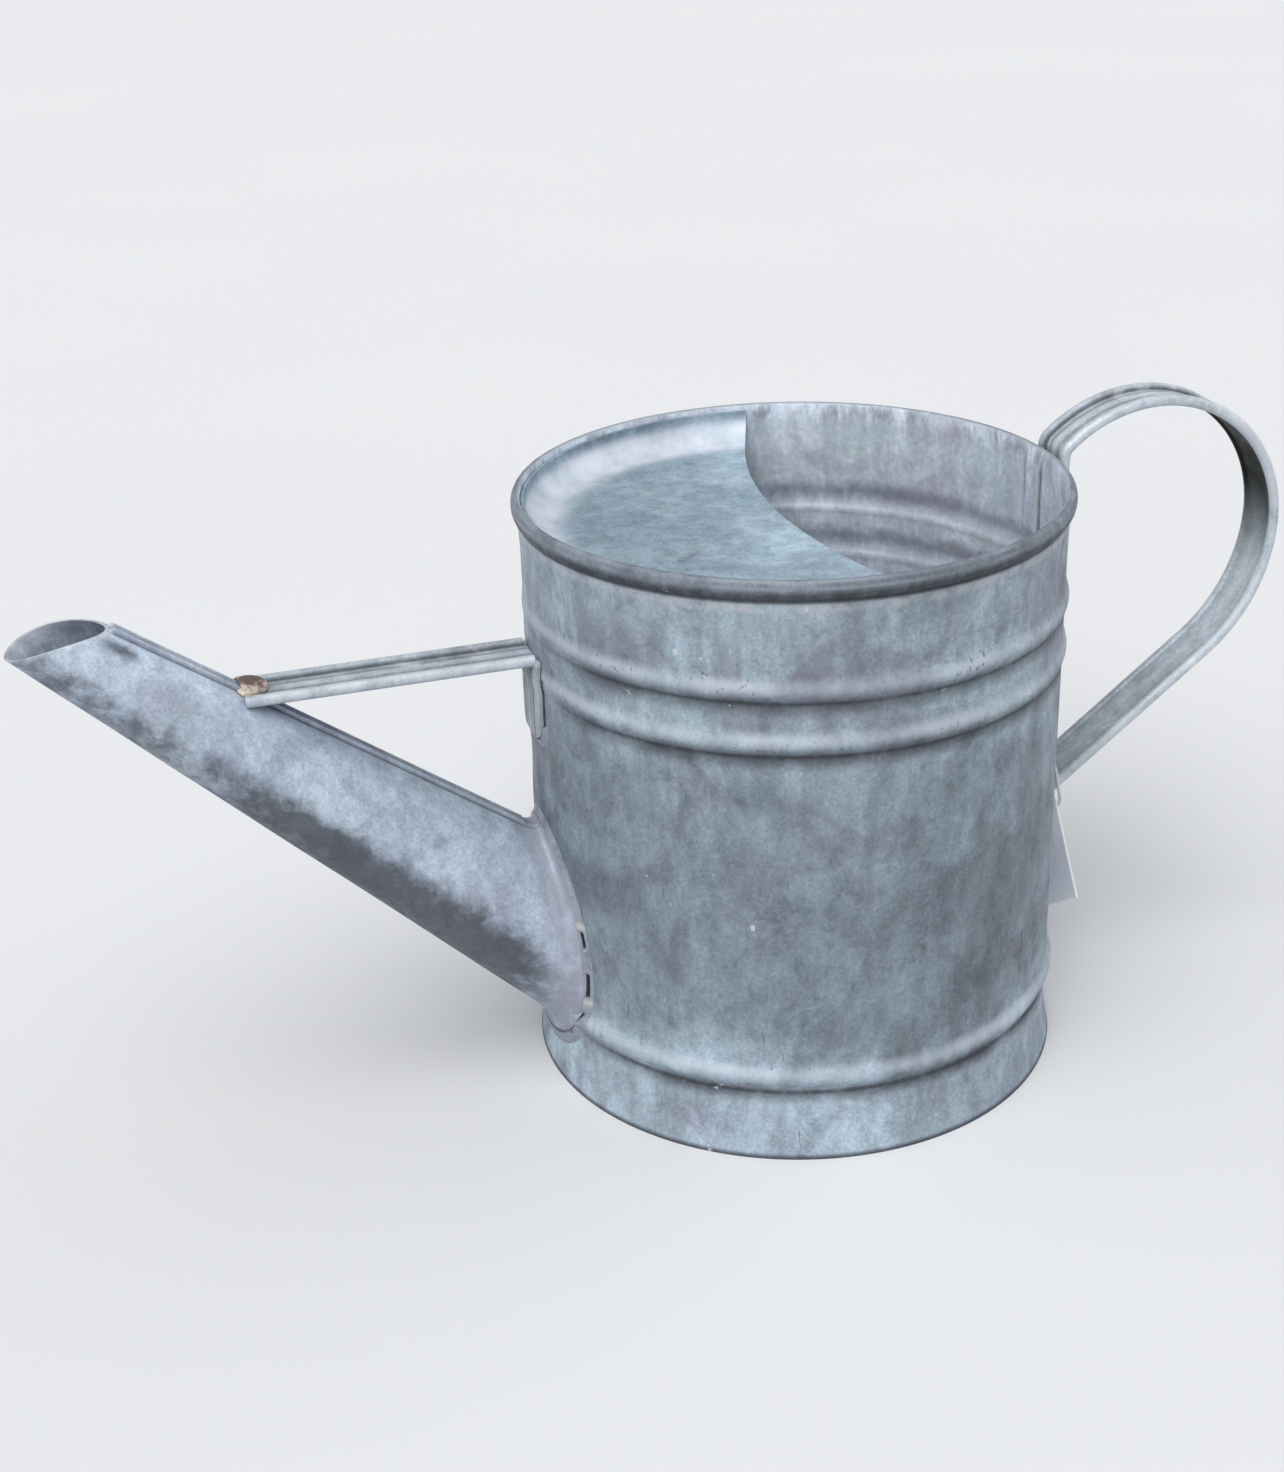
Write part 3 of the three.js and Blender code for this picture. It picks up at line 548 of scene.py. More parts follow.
def solder_material(name, base, stain, seed, centre=None, radii=None):
    """Lumpy, dull solder. A blob with a centre has a dark middle and a pale edge."""
    g = Graph(name, metallic=0.2, specular=0.4)
    lumps = g.noise(1.6, detail=5, roughness=0.6, seed=seed)
    dirt = g.noise(3.5, detail=4, seed=seed + 3)
    colour = g.mix(base, stain, g.ramp(dirt, 0.45, 0.68))
    if centre:
        off = g.math("ADD", g.away(centre, radii), g.ramp(lumps, 0.3, 0.7, -0.22, 0.22))
        colour = g.mix(linear(106, 86, 80), linear(196, 184, 170), g.ramp(off, 0.50, 1.08))
        colour = g.paint(colour, stain, g.ramp(dirt, 0.55, 0.66), 0.5)
    else:
        colour = g.paint(colour, linear(206, 204, 206), g.ramp(lumps, 0.55, 0.72), 0.4)
        colour = g.paint(colour, linear(206, 203, 196), g.attribute("lip"), 0.55)
        # Painted shade in the open slots and the pinhole
        colour = g.mix(colour, linear(28, 28, 31), g.attribute("slot"))
    return g.finish(colour, g.ramp(lumps, 0.3, 0.7, 0.45, 0.62), lumps, bump_mm=0.35, strength=0.6)


blob_box = [Vector(corner) for corner in nodes["brace_tip_solder"].bound_box]
blob_centre = tuple(sum((c[i] for c in blob_box)) / len(blob_box) for i in range(3))
blob_radii = (*(max(c[i] for c in blob_box) - blob_centre[i] for i in (0, 1)), 1.0)
solder = solder_material("solder", linear(142, 150, 161), linear(122, 128, 139), 81.0)
rusted = solder_material("rusted_solder", linear(142, 122, 108), linear(78, 60, 52), 87.0,
                         blob_centre, blob_radii)


def paper_material():
    g = Graph("tag_paper", metallic=0.0, specular=0.25)
    fibres = g.noise(0.7, detail=4, roughness=0.7, seed=91)
    cloud = g.noise(9, detail=2, seed=93)
    colour = g.mix(linear(226, 231, 248), linear(236, 239, 249), g.ramp(cloud, 0.35, 0.65))
    colour = g.paint(colour, linear(214, 219, 236), g.ramp(fibres, 0.55, 0.75), 0.35)
    g.fill(g.shader, {"Subsurface Weight": 1.0, "Subsurface Radius": (1.0, 1.0, 1.1),
                      "Subsurface Scale": 1.5 * MM})
    return g.finish(colour, 0.85, fibres, bump_mm=0.08, strength=0.5)


def tie_material():
    g = Graph("tie_plastic", metallic=0.0, specular=0.5)
    haze = g.noise(1.5, detail=2, seed=97)
    colour = g.mix(linear(214, 216, 220), linear(190, 194, 200), haze)
    return g.finish(colour, g.ramp(haze, 0.3, 0.7, 0.35, 0.5), haze, bump_mm=0.03, strength=0.3)


# ---------------------------------------------------------------------- wall

def from_spout(angle):
    """Degrees round the can from the middle of the spout's side."""
    return abs(math.degrees(angle) % 360 - 180)


def side_fade(angle):
    """How fully a bead is formed at an angle round the can: it dies away at the spout side."""
    return 0.35 + 0.65 * smooth((from_spout(angle) - 14) / 18)


def bead(height, crest, rise):
    """Bead with a soft upper flank and a sharper crease below."""
    t = (height - crest) / BEAD_HALF
    if abs(t) >= 1.15:
        return 0.0
    bump = rise * (0.5 + 0.5 * math.cos(math.pi * max(-1, min(1, t))))
    groove = 0.30 * math.exp(-((t + 0.82) / 0.16) ** 2)
    return bump - groove


def wall_radius(height, angle):
    radius = WALL_RADIUS
    for crest in UPPER_BEADS:
        radius += bead(height, crest, UPPER_RISE) * side_fade(angle)
    radius += bead(height, LOWER_BEAD, LOWER_RISE)
    flare = max(0.0, 1 - height / SKIRT_HEIGHT)
    radius += SKIRT_FLARE * flare ** 1.5
    return radius


def off_joints(x, y, z):
    """0 where something is soldered to the wall, rising to 1 a little way off."""
    rel = Vector((x, y, z)) - SPOUT_FOOT
    clear = smooth((rel - AXIS * rel.dot(AXIS)).length / 10 - 2.8) if x < 0 else 1.0
    spans = ((BRACE_FOOT_BOTTOM, BRACE_HEIGHT),) if x < 0 else (UPPER_FOOT, LOWER_FOOT)
    for bottom, top in spans:
        beyond = max(abs(y) - FOOT_HALF_WIDTH, bottom - z, z - top)
        clear = min(clear, smooth((beyond - 2.2) / 8))
    return clear


def dent(x, y, z):
    """Gentle unevenness of hand-worked sheet, never outward."""
    free = smooth(z / 14) * smooth((152 - z) / 10) * off_joints(x, y, z)
    broad = wobble(x, y, z, 46, 3.1)
    small = wobble(x, y, z, 17, 8.7)
    return -free * (0.30 + 0.24 * broad + 0.10 * small)


def build_wall():
    """Outside from the foot up, round the hem, and down the inside."""
    angles = [2 * math.pi * j / WALL_COLUMNS for j in range(WALL_COLUMNS)]
    top = WALL_HEIGHT - HEM_HEIGHT - 0.6
    steps = [round(2 + WALL_STEP * i, 3) for i in range(round(WALL_HEIGHT / WALL_STEP))]
    heights = [0, 0.3, 0.8, 1.5] + [h for h in steps if h < top]

    def ring(z, inset):
        row = []
        for a in angles:
            r = wall_radius(z, a) - inset
            r += dent(*round_point(r, a, z))
            row.append(round_point(r - (seam_depth(a, z) if inset else 0), a, z))
        return row

    rows = [ring(z, 0) for z in heights]
    middle = WALL_HEIGHT - HEM_HEIGHT / 2
    hem = [(WALL_RADIUS + 0.02, WALL_HEIGHT - HEM_HEIGHT - 0.3),
           (WALL_RADIUS - 0.25, WALL_HEIGHT - HEM_HEIGHT - 0.05)]
    for t in [math.radians(degrees) for degrees in range(-78, 91, 12)]:
        hem.append((WALL_RADIUS + (HEM_DEPTH - 0.08) * math.cos(t),
                    middle + HEM_HEIGHT / 2 * math.sin(t)))
    hem += [(WALL_RADIUS - 0.35, WALL_HEIGHT - 0.05), (WALL_RADIUS - SHEET, WALL_HEIGHT - 0.7)]
    bows = [min(0.0, 0.16 * wobble(*round_point(WALL_RADIUS, a, 0), 30, 5.5)) for a in angles]
    rows += [[round_point(r + bow, a, z) for a, bow in zip(angles, bows)] for r, z in hem]
    rows += [ring(z, SHEET) for z in reversed(heights[3:])]
    rows.append([round_point(WALL_RADIUS + SKIRT_FLARE - SHEET, a, 0.0) for a in angles])
    verts, faces = grid(rows, close_rows=True, close_columns=True)
    wall = make_object("wall_shell", verts, faces, WALL_SMOOTH)
    cut(wall, cone_cutter(SPOUT_FOOT_RADIUS - SHEET, -13, 80), WALL_SMOOTH)
    return wall


def seam_depth(angle, z):
    """Lock seam up the inside of the wall: a folded strip with a soft step at each side."""
    across = WALL_RADIUS * (((math.degrees(angle) - SEAM_ANGLE + 180) % 360) - 180) * math.pi / 180
    if z < SEAM_BOTTOM or z > WALL_HEIGHT - 3:
        return 0.0
    step = 1 - smooth((abs(across) - SEAM_WIDTH / 2 + 0.9) / 0.9)
    lip = math.exp(-((across + 3.2) / 0.7) ** 2)
    return 0.75 * step + 0.25 * lip


def cone_cutter(radius, start, end):
    """Cone along the spout's axis between two places, as a temporary object."""
    bm = bmesh.new()
    bmesh.ops.create_cone(bm, cap_ends=True, segments=96, radius1=(radius - TAPER * start) * MM,
                          radius2=(radius - TAPER * end) * MM, depth=(end - start) * MM)
    mesh = bpy.data.meshes.new("cutter")
    bm.to_mesh(mesh)
    bm.free()
    cutter = bpy.data.objects.new("cutter", mesh)
    bpy.context.scene.collection.objects.link(cutter)
    middle = (SPOUT_FOOT + AXIS * (start + end) / 2) * MM
    turn = AXIS.to_track_quat("Z", "Y").to_matrix().to_4x4()
    cutter.matrix_world = Matrix.Translation(middle) @ turn
    bpy.context.view_layer.update()
    return cutter


def spout_side_fade(x, y):
    """0 in line with the spout, 1 well round from it."""
    return 0.12 + 0.88 * smooth((from_spout(math.atan2(y, x)) - 8) / 26)


def seam_line(x, y, z, places, half):
    """1 on thin upright lines beside the inner seam, at those places across it in mm."""
    angle = math.atan2(y, x)
    across = WALL_RADIUS * (angle - math.radians(SEAM_ANGLE))
    if z < SEAM_BOTTOM or z > WALL_HEIGHT - 3 or abs(across) > 12:
        return 0.0
    return min(1.0, sum(math.exp(-((across - place) / half) ** 2) for place in places))


wall = build_wall()
set_attributes(
    wall,
    rim=lambda x, y, z: smooth((math.hypot(x, y) - 69.7) / 0.25) * smooth((z - 152.0) / 0.3),
    inside=lambda x, y, z: float(math.hypot(x, y) < wall_radius(z, math.atan2(y, x)) - 0.55
                                 and z < 156.9),
    formed=lambda x, y, z: spout_side_fade(x, y),
    seam=lambda x, y, z: seam_line(x, y, z, (-4.3, 4.3), 0.45),
    lip=lambda x, y, z: seam_line(x, y, z, (-2.9, 5.6), 0.5))
finished(wall, wall_zinc, "body_wall")


# ---------------------------------------------------------------------- hood

def hood_edge_x(y):
    """The free edge: hollow, seen from the handle, and set slightly askew."""
    bow = HOOD_EDGE_X + HOOD_EDGE_RADIUS - math.sqrt(HOOD_EDGE_RADIUS ** 2 - y * y)
    return bow - y * math.tan(math.radians(HOOD_SKEW))


HOOD_RIM = WALL_RADIUS - SHEET - GAP
HOOD_FLAT = HOOD_RIM - HOOD_FILLET


def edge_angle(radius, side):
    """Angle from +X where a circle of that radius crosses the hood's free edge."""
    return bisect(0.3, math.pi - 0.3, lambda angle: radius * math.cos(angle)
                  > hood_edge_x(side * radius * math.sin(angle)))


def dent_mark(x, y):
    """Short diagonal crease left of the hood's middle."""
    along = (x + 33) * 0.75 + (y + 17) * 0.66
    across = -(x + 33) * 0.66 + (y + 17) * 0.75
    return 0.45 * math.exp(-(across / 0.8) ** 2) * math.exp(-(along / 5) ** 4)


def build_hood():
    """Grid of lines from the free edge out to the rim, folded up at the wall."""
    columns = 220
    bend_radius = HOOD_FILLET - SHEET
    stations = [("flat", t, 0.0) for t in np.linspace(0, 1, 25)]
    for t in np.linspace(0, 1, 13)[1:]:
        bend = t * math.pi / 2
        stations.append(("fold", HOOD_FLAT + bend_radius * math.sin(bend),
                         bend_radius * (1 - math.cos(bend))))
    stations.append(("fold", HOOD_RIM - SHEET, HOOD_TOP - HOOD_HEIGHT - 0.15))
    spans = {}
    for kind, r, _ in stations:
        radius = HOOD_FLAT if kind == "flat" else r
        spans[radius] = (edge_angle(radius, 1), 2 * math.pi - edge_angle(radius, -1))
    y_top = HOOD_FLAT * math.sin(spans[HOOD_FLAT][0])
    y_low = HOOD_FLAT * math.sin(spans[HOOD_FLAT][1])

    upper = []
    for i in range(columns + 1):
        share = i / columns
        row = []
        for kind, r, lift in stations:
            radius = HOOD_FLAT if kind == "flat" else r
            start, end = spans[radius]
            angle = start + (end - start) * share
            p = Vector((radius * math.cos(angle), radius * math.sin(angle)))
            if kind == "flat":
                y = y_top + (y_low - y_top) * share
                p = Vector((hood_edge_x(y), y)).lerp(p, r)
            inward = smooth((HOOD_FLAT - p.length) / 26)
            uneven = 0.25 * wobble(p.x, p.y, 0, 22, 12.3) * smooth((HOOD_FLAT - p.length) / 10)
            sunk = min(0.0, uneven - 0.55 * inward)
            row.append((p.x, p.y, HOOD_HEIGHT + lift + sunk - dent_mark(p.x, p.y)))
        upper.append(row)
    verts, faces = shell(upper, [[under(p) for p in row] for row in upper])
    hood = make_object("hood_sheet", verts, faces, WALL_SMOOTH)
    set_attributes(
        hood,
        edge=lambda x, y, z: (smooth((math.hypot(x, y) - HOOD_FLAT + 5) / 7)
                              * (1 - smooth((z - HOOD_HEIGHT - 4) / 3))),
        line=lambda x, y, z: min(1, 3 * dent_mark(x, y)))
    return hood


def under(point):
    """The underside of the hood's sheet below a point of its upper side."""
    x, y, z = point
    r = math.hypot(x, y)
    if r <= HOOD_FLAT:
        return (x, y, z - SHEET)
    lean = math.asin(min(1.0, (r - HOOD_FLAT) / (HOOD_FILLET - SHEET)))
    out = SHEET * math.sin(lean)
    return (x * (r + out) / r, y * (r + out) / r, z - SHEET * math.cos(lean))


hood = build_hood()
finished(hood, hood_zinc, "hood")


# --------------------------------------------------------------------- spout

def cone_point(angle, place, grow):
    """angle is 0 on the top line and grows towards +Y."""
    radius = SPOUT_FOOT_RADIUS - TAPER * place + grow
    return SPOUT_FOOT + AXIS * place + (UP * math.cos(angle) + SIDE * math.sin(angle)) * radius


def cone_place(x, y, z):
    """Place along the spout, angle round it and distance outside its cone."""
    rel = Vector((x, y, z)) - SPOUT_FOOT
    place = rel.dot(AXIS)
    across = rel - AXIS * place
    angle = math.atan2(across.dot(SIDE), across.dot(UP))
    return place, angle, across.length - (SPOUT_FOOT_RADIUS - TAPER * place)


MOUTH_POINT = cone_point(0, SPOUT_LENGTH, 0)
MOUTH_OUT = Vector((-math.cos(MOUTH_DROP), 0, -math.sin(MOUTH_DROP)))
MOUTH_NORMAL = Vector((-math.sin(MOUTH_DROP), 0, math.cos(MOUTH_DROP)))


def above_mouth(point):
    """Height of a point above the bowed mouth, in mm."""
    rel = point - MOUTH_POINT
    along = rel.dot(MOUTH_OUT)
    bow_radius = (MOUTH_LENGTH ** 2 / 4 + MOUTH_BOW ** 2) / (2 * MOUTH_BOW)
    off = along - MOUTH_LENGTH / 2
    inside = max(0.0, bow_radius ** 2 - off ** 2)
    crown = MOUTH_BOW - bow_radius + math.sqrt(inside)
    return rel.dot(MOUTH_NORMAL) - max(0.0, crown)


def mouth_place(angle, grow):
    """Where a line of the grown cone meets the mouth."""
    return bisect(60.0, SPOUT_LENGTH + 30,
                  lambda place: above_mouth(cone_point(angle, place, grow)) < 0)


def wall_place(angle, grow, radius):
    """Where a line of the grown cone leaves the can's wall."""
    return bisect(-20.0, 80.0, lambda place: cone_point(angle, place, grow).xy.length < radius)


def ridge(angle, place):
    """Folded seam along the top: two small rolls with a groove between them."""
    radius = SPOUT_FOOT_RADIUS - TAPER * place
    across = abs(((angle + math.pi) % (2 * math.pi)) - math.pi) * radius
    half = SEAM_RIDGE_WIDTH / 2
    body = 1 - smooth((across - half + 0.55) / 0.55)
    groove = 0.55 * math.exp(-((across - 0.55) / 0.38) ** 2)
    return SEAM_RIDGE_HEIGHT * (body * (1 - groove))


def build_spout():
    """From the hole up the flange, along the outside to the mouth, and back down the bore."""
    angles = [math.radians(d) for d in (*np.arange(-24, 24.01, 0.75), *np.arange(27, 333.01, 3.0))]
    r_low = WALL_RADIUS + GAP
    r_face = r_low + SHEET
    starts = [wall_place(a, 0, r_face) + 5.4 for a in angles]
    ends = [mouth_place(a, 0) for a in angles]
    bore_starts = [mouth_place(a, -SHEET) for a in angles]
    bore_ends = [wall_place(a, -SHEET, r_low) for a in angles]

    rows = [[cone_point(a, wall_place(a, grow, radius), grow) for a in angles]
            for grow, radius in ((-SHEET, r_low), (FLANGE_WIDTH, r_low), (FLANGE_WIDTH, r_face))]
    for grow, lift in ((2.3, 0.10), (1.7, 0.30), (1.15, 0.70), (0.7, 1.35), (0.35, 2.3),
                       (0.12, 3.6)):
        rows.append([cone_point(a, wall_place(a, grow, r_face + lift), grow + 0.3 * ridge(a, 0))
                     for a in angles])
    for share in [i / 90 for i in range(91)]:
        row = []
        for a, start, end in zip(angles, starts, ends):
            place = start + (end - start) * share
            uneven = 0.16 * wobble(*cone_point(a, place, 0), 26, 21.0)
            uneven *= smooth(share * 5) * smooth((1 - share) * 9)
            row.append(cone_point(a, place, ridge(a, place) + min(0.0, uneven - 0.1)))
        rows.append(row)
    rows.append([cone_point(a, mouth_place(a, -0.15) + 0.12, -0.25) for a in angles])
    rows.append([cone_point(a, start - 0.1, -SHEET) for a, start in zip(angles, bore_starts)])
    for share in [i / 30 for i in range(1, 30)]:
        rows.append([cone_point(a, start + (end - start) * share, -SHEET)
                     for a, start, end in zip(angles, bore_starts, bore_ends)])
    verts, faces = grid(rows, close_rows=True, close_columns=True)
    spout = make_object("spout_cone", verts, faces, SPOUT_SMOOTH)

    # Painted shade on the underside and inside the bore, and a dark spot near the mouth
    def stain(x, y, z):
        place, angle, out = cone_place(x, y, z)
        if out < -SHEET * 0.6:
            return 0.45
        under_side = smooth((abs(math.degrees(angle)) - 70) / 42)
        under_side *= 0.62 + 0.38 * smooth((132 - place) / 50)
        under_side *= 0.35 + 0.65 * smooth((math.hypot(x, y) - 72) / 16)
        corner = math.exp(-((place - 150) / 6) ** 2 - ((math.degrees(angle) + 36) / 14) ** 2)
        return max(under_side, 0.85 * corner)

    def line(x, y, z):
        place, angle, out = cone_place(x, y, z)
        if out < -0.3:
            return 0.0
        across = abs(angle) * (SPOUT_FOOT_RADIUS - TAPER * place)
        middle = math.exp(-((across - 0.55) / 0.45) ** 2)
        beside = math.exp(-((across - SEAM_RIDGE_WIDTH / 2 - 0.15) / 0.45) ** 2)
        return min(1.0, 0.9 * middle + 0.85 * beside)

    def edge(x, y, z):
        place, angle, out = cone_place(x, y, z)
        near_mouth = 0.8 * (1 - smooth((mouth_place(angle, 0) - place - 0.2) / 0.8))
        return near_mouth if out > -1.2 else 0

    set_attributes(spout, stain=stain, line=line, edge=edge,
                   joint=lambda x, y, z: 1 - smooth((math.hypot(x, y) - r_face - 0.4) / 9))
    return spout


spout = build_spout()
finished(spout, spout_zinc, "spout")


def slot_depth(y, z):
    """1 in the open slots of the spout's solder, on the -Y side."""
    if y > 0:
        return 0.0
    rise = z - SPOUT_FOOT.z
    return max(smooth((rise - low) / 0.8) * smooth((high - rise) / 0.8)
               for low, high in SPOUT_SLOTS)


def slot_lip(y, z):
    """1 on the whitish solder above the highest slot and below the middle one."""
    if y > 0:
        return 0.0
    rise = z - SPOUT_FOOT.z
    ends = (SPOUT_SLOTS[0][1] + 1.2, SPOUT_SLOTS[1][0] - 1.2)
    return max(math.exp(-((rise - end) / 1.1) ** 2) for end in ends)


def build_spout_solder():
    """Ring feathered from the flange's edge down on to the wall."""
    angles = [2 * math.pi * j / WALL_COLUMNS for j in range(WALL_COLUMNS)]
    profile = ((0.0, 0.06), (0.0, 1.06), (0.4, 0.90), (0.8, 0.66), (1.15, 0.46), (1.4, 0.34),
               (1.9, 0.16), (SOLDER_WIDTH + GAP - 0.02, 0.03))
    rows = []
    for off, lift in profile:
        row = []
        for a in angles:
            grow = FLANGE_WIDTH + off
            p = cone_point(a, wall_place(a, grow, WALL_RADIUS), grow)
            open_slot = slot_depth(p.y, p.z) if off < SLOT_WIDTH else 0.0
            level = lift * (1 - 0.9 * open_slot)
            round_can = math.atan2(p.y, p.x)
            radius = wall_radius(p.z, round_can) + level
            row.append(round_point(radius, round_can, p.z))
        rows.append(row)
    verts, faces = grid(rows, close_rows=True, close_columns=True)
    ring = make_object("spout_ring", verts, faces, SOLDER_SMOOTH)

    def slot(x, y, z):
        out = cone_place(x, y, z)[2]
        # A pinhole painted as a dark spot of shade, with no hole in the mesh
        pinhole = 1 - smooth((math.hypot(y + 16.6, z - 17.6) - 0.4) / 0.5)
        open_slot = slot_depth(y, z) * (1 - smooth((out - FLANGE_WIDTH - SLOT_WIDTH + 0.3) / 0.5))
        return max(0.8 * pinhole, open_slot)

    set_attributes(ring, slot=slot, lip=lambda x, y, z: slot_lip(y, z) * (1 - slot(x, y, z)))
    return ring


finished(build_spout_solder(), solder, "spout_solder")


# -------------------------------------------------------------------- straps

def strap_section(points_each=9):
    """Section across a strap, as (across, out) pairs going round. out is away from the bend."""
    half = (STRAP_WIDTH - STRAP_EDGE) / 2
    edge = STRAP_EDGE / 2
    outer = edge - OUTER_RECESS
    inner = -(edge - INNER_RECESS)
    up = math.asin(outer / edge)
    down = math.asin(inner / edge)
    section = []
    # one roll, from the inner web round the outside to the outer web
    for angle in np.linspace(-math.pi - down, math.pi - up, points_each * 2):
        section.append((half + edge * math.cos(angle), edge * math.sin(angle)))
    web = [(half * s, outer) for s in (0.55, 0.36)]
    crown = ((1.9, 0.02), (1.1, 0.22), (0, 0.3), (-1.1, 0.22), (-1.9, 0.02))
    section += web + [(x, outer + rise) for x, rise in crown] + [(-x, z) for x, z in reversed(web)]
    for angle in np.linspace(up, 2 * math.pi + down, points_each * 2):
        section.append((-half + edge * math.cos(angle), edge * math.sin(angle)))
    section += [(-half * s, inner) for s in (0.5, 0.0, -0.5)]
    return section


def sweep(path, section):
    """Section swept along a path of (point, out) pairs in the XZ plane, as verts and faces."""
    rows = [[tuple(point + Vector((0, across, 0)) + out * away) for across, away in section]
            for point, out in path]
    verts, faces = grid(rows, close_columns=True)
    count = len(section)
    faces.append(list(range(count))[::-1])
    faces.append([(len(rows) - 1) * count + i for i in range(count)])
    return verts, faces


def round_angle(y, side):
    """Angle round the can at a place across it. side is -1 at the spout, 1 at the handle."""
    angle = math.asin(y / WALL_RADIUS)
    return angle if side > 0 else math.pi - angle


def foot_mesh(bottom, top, side, rows=26, columns=22):
    """Rounded foot that lies on the wall, as verts and faces."""
    outer, inner = [], []
    for rise in [(top - bottom) * i / rows for i in range(rows + 1)]:
        z = bottom + rise
        half = FOOT_HALF_WIDTH
        if rise < FOOT_CORNER:
            half -= FOOT_CORNER - math.sqrt(
                max(0.0, FOOT_CORNER ** 2 - (FOOT_CORNER - rise) ** 2))
        outer.append([])
        inner.append([])
        for j in range(columns + 1):
            y = half * (2 * j / columns - 1)
            angle = round_angle(y, side)
            r = wall_radius(z, angle) + GAP
            near_edge = min(1.0, min(half - abs(y), rise, top - z) / 0.5)
            thick = FOOT_THICKNESS * (0.72 + 0.28 * smooth(near_edge))
            outer[-1].append(round_point(r + thick, angle, z))
            inner[-1].append(round_point(r, angle, z))
    return shell(outer, inner)


def joined(*parts):
    verts, faces = [], []
    for part_verts, part_faces in parts:
        base = len(verts)
        verts += part_verts
        faces += [[base + i for i in face] for face in part_faces]
    return verts, faces


def build_brace():
    """Level strap, cut to the spout, that turns down at the wall into its foot."""
    path = [(Vector((x, 0, BRACE_HEIGHT)), Vector((0, 0, 1)))
            for x in np.linspace(BRACE_TIP_X, -(WALL_RADIUS + 0.9), 70)]
    centre = Vector((-(WALL_RADIUS + 2.4) - 3.2, 0, BRACE_HEIGHT - 0.9 - 3.2))
    normals = [Vector((math.sin(t), 0, math.cos(t))) for t in np.linspace(0, math.pi / 2, 10)]
    bend = [(centre + normal * 2.7, normal) for normal in normals]
    turned = sweep(bend, ((6, 0.5), (-6, 0.5), (-6, -0.5), (6, -0.5)))
    plate = foot_mesh(BRACE_FOOT_BOTTOM, BRACE_HEIGHT, -1)
    verts, faces = joined(sweep(path, strap_section()), turned, plate)
    brace = make_object("brace_strap", verts, faces, STRAP_SMOOTH)
    cut(brace, cone_cutter(SPOUT_FOOT_RADIUS + 0.25, 20, 150), STRAP_SMOOTH)
    strap_attributes(brace, lambda x, y, z: (y, z - BRACE_HEIGHT if x < -74 else 0), brace_stain)
    return brace


# Painted shade under the strap, and less of it on the part by the wall
def brace_stain(x, y, z):
    if x > -75.5 and z < BRACE_HEIGHT - 2:
        return 0.25
    return 0.4 * smooth((BRACE_HEIGHT - 0.9 - z) / 0.6)


def strap_attributes(obj, local, stain):
    """local(x, y, z) gives the place across the strap and out from its middle line."""
    def line(x, y, z):
        across, out = local(x, y, z)
        near_roll = math.exp(-((abs(across) - 4.4) / 0.5) ** 2)
        beside_ridge = 0.55 * math.exp(-((abs(across) - 2.1) / 0.45) ** 2)
        return (near_roll + beside_ridge) * (1.0 if out > -0.2 else 0.25)

    def edge(x, y, z):
        across, _ = local(x, y, z)
        return max(smooth((abs(across) - 5.4) / 1.2), math.exp(-(across / 0.9) ** 2))

    set_attributes(obj, line=line, edge=edge, stain=stain)


brace = build_brace()
finished(brace, strap_zinc, "brace")


def handle_path():
    """Points and outward directions along the handle's middle line."""
    neck_x = WALL_RADIUS + HEM_DEPTH + 0.3 + STRAP_EDGE / 2
    neck_cx = neck_x + HANDLE_NECK_RADIUS
    apart = HANDLE_RADIUS - HANDLE_NECK_RADIUS
    neck_cz = HANDLE_Z + math.sqrt(apart ** 2 - (HANDLE_X - neck_cx) ** 2)
    join = math.atan2(neck_cz - HANDLE_Z, neck_cx - HANDLE_X)
    leg_angle = HANDLE_LEG_SLOPE - math.pi / 2
    lower_x = HANDLE_X + HANDLE_RADIUS - HANDLE_LOWER_RADIUS
    foot_x = WALL_RADIUS + STRAP_EDGE / 2 + 0.4
    foot_z = (UPPER_FOOT[0] + UPPER_FOOT[1]) / 2
    middle_z = (foot_z + neck_cz) / 2

    def arc(centre_x, centre_z, radius, start, end, count):
        return [(centre_x + radius * math.cos(angle), centre_z + radius * math.sin(angle))
                for angle in np.linspace(start, end, count)[1:]]

    points = []
    for t in np.linspace(0, 1, 24):
        a, b, c, d = (1 - t) ** 3, 3 * t * (1 - t) ** 2, 3 * t * t * (1 - t), t ** 3
        points.append((foot_x * (a + b) + neck_x * (c + d),
                       foot_z * a + middle_z * (b + c) + neck_cz * d))
    points += arc(neck_cx, neck_cz, HANDLE_NECK_RADIUS, math.pi, join, 14)
    points += arc(HANDLE_X, HANDLE_Z, HANDLE_RADIUS, join, 0, 90)
    points += arc(lower_x, HANDLE_Z, HANDLE_LOWER_RADIUS, 0, leg_angle, 50)
    top_x, top_z = points[-1]
    for t in np.linspace(0, 1, 40)[1:]:
        x = top_x + (WALL_RADIUS + 0.6 - top_x) * t
        points.append((x, top_z - (top_x - x) * math.tan(HANDLE_LEG_SLOPE)))
    path = []
    for i, (x, z) in enumerate(points):
        before = points[max(0, i - 1)]
        after = points[min(len(points) - 1, i + 1)]
        tangent = Vector((after[0] - before[0], 0, after[1] - before[1])).normalized()
        out = Vector((-tangent.z, 0, tangent.x))
        path.append((Vector((x, 0, z)), out))
    return path


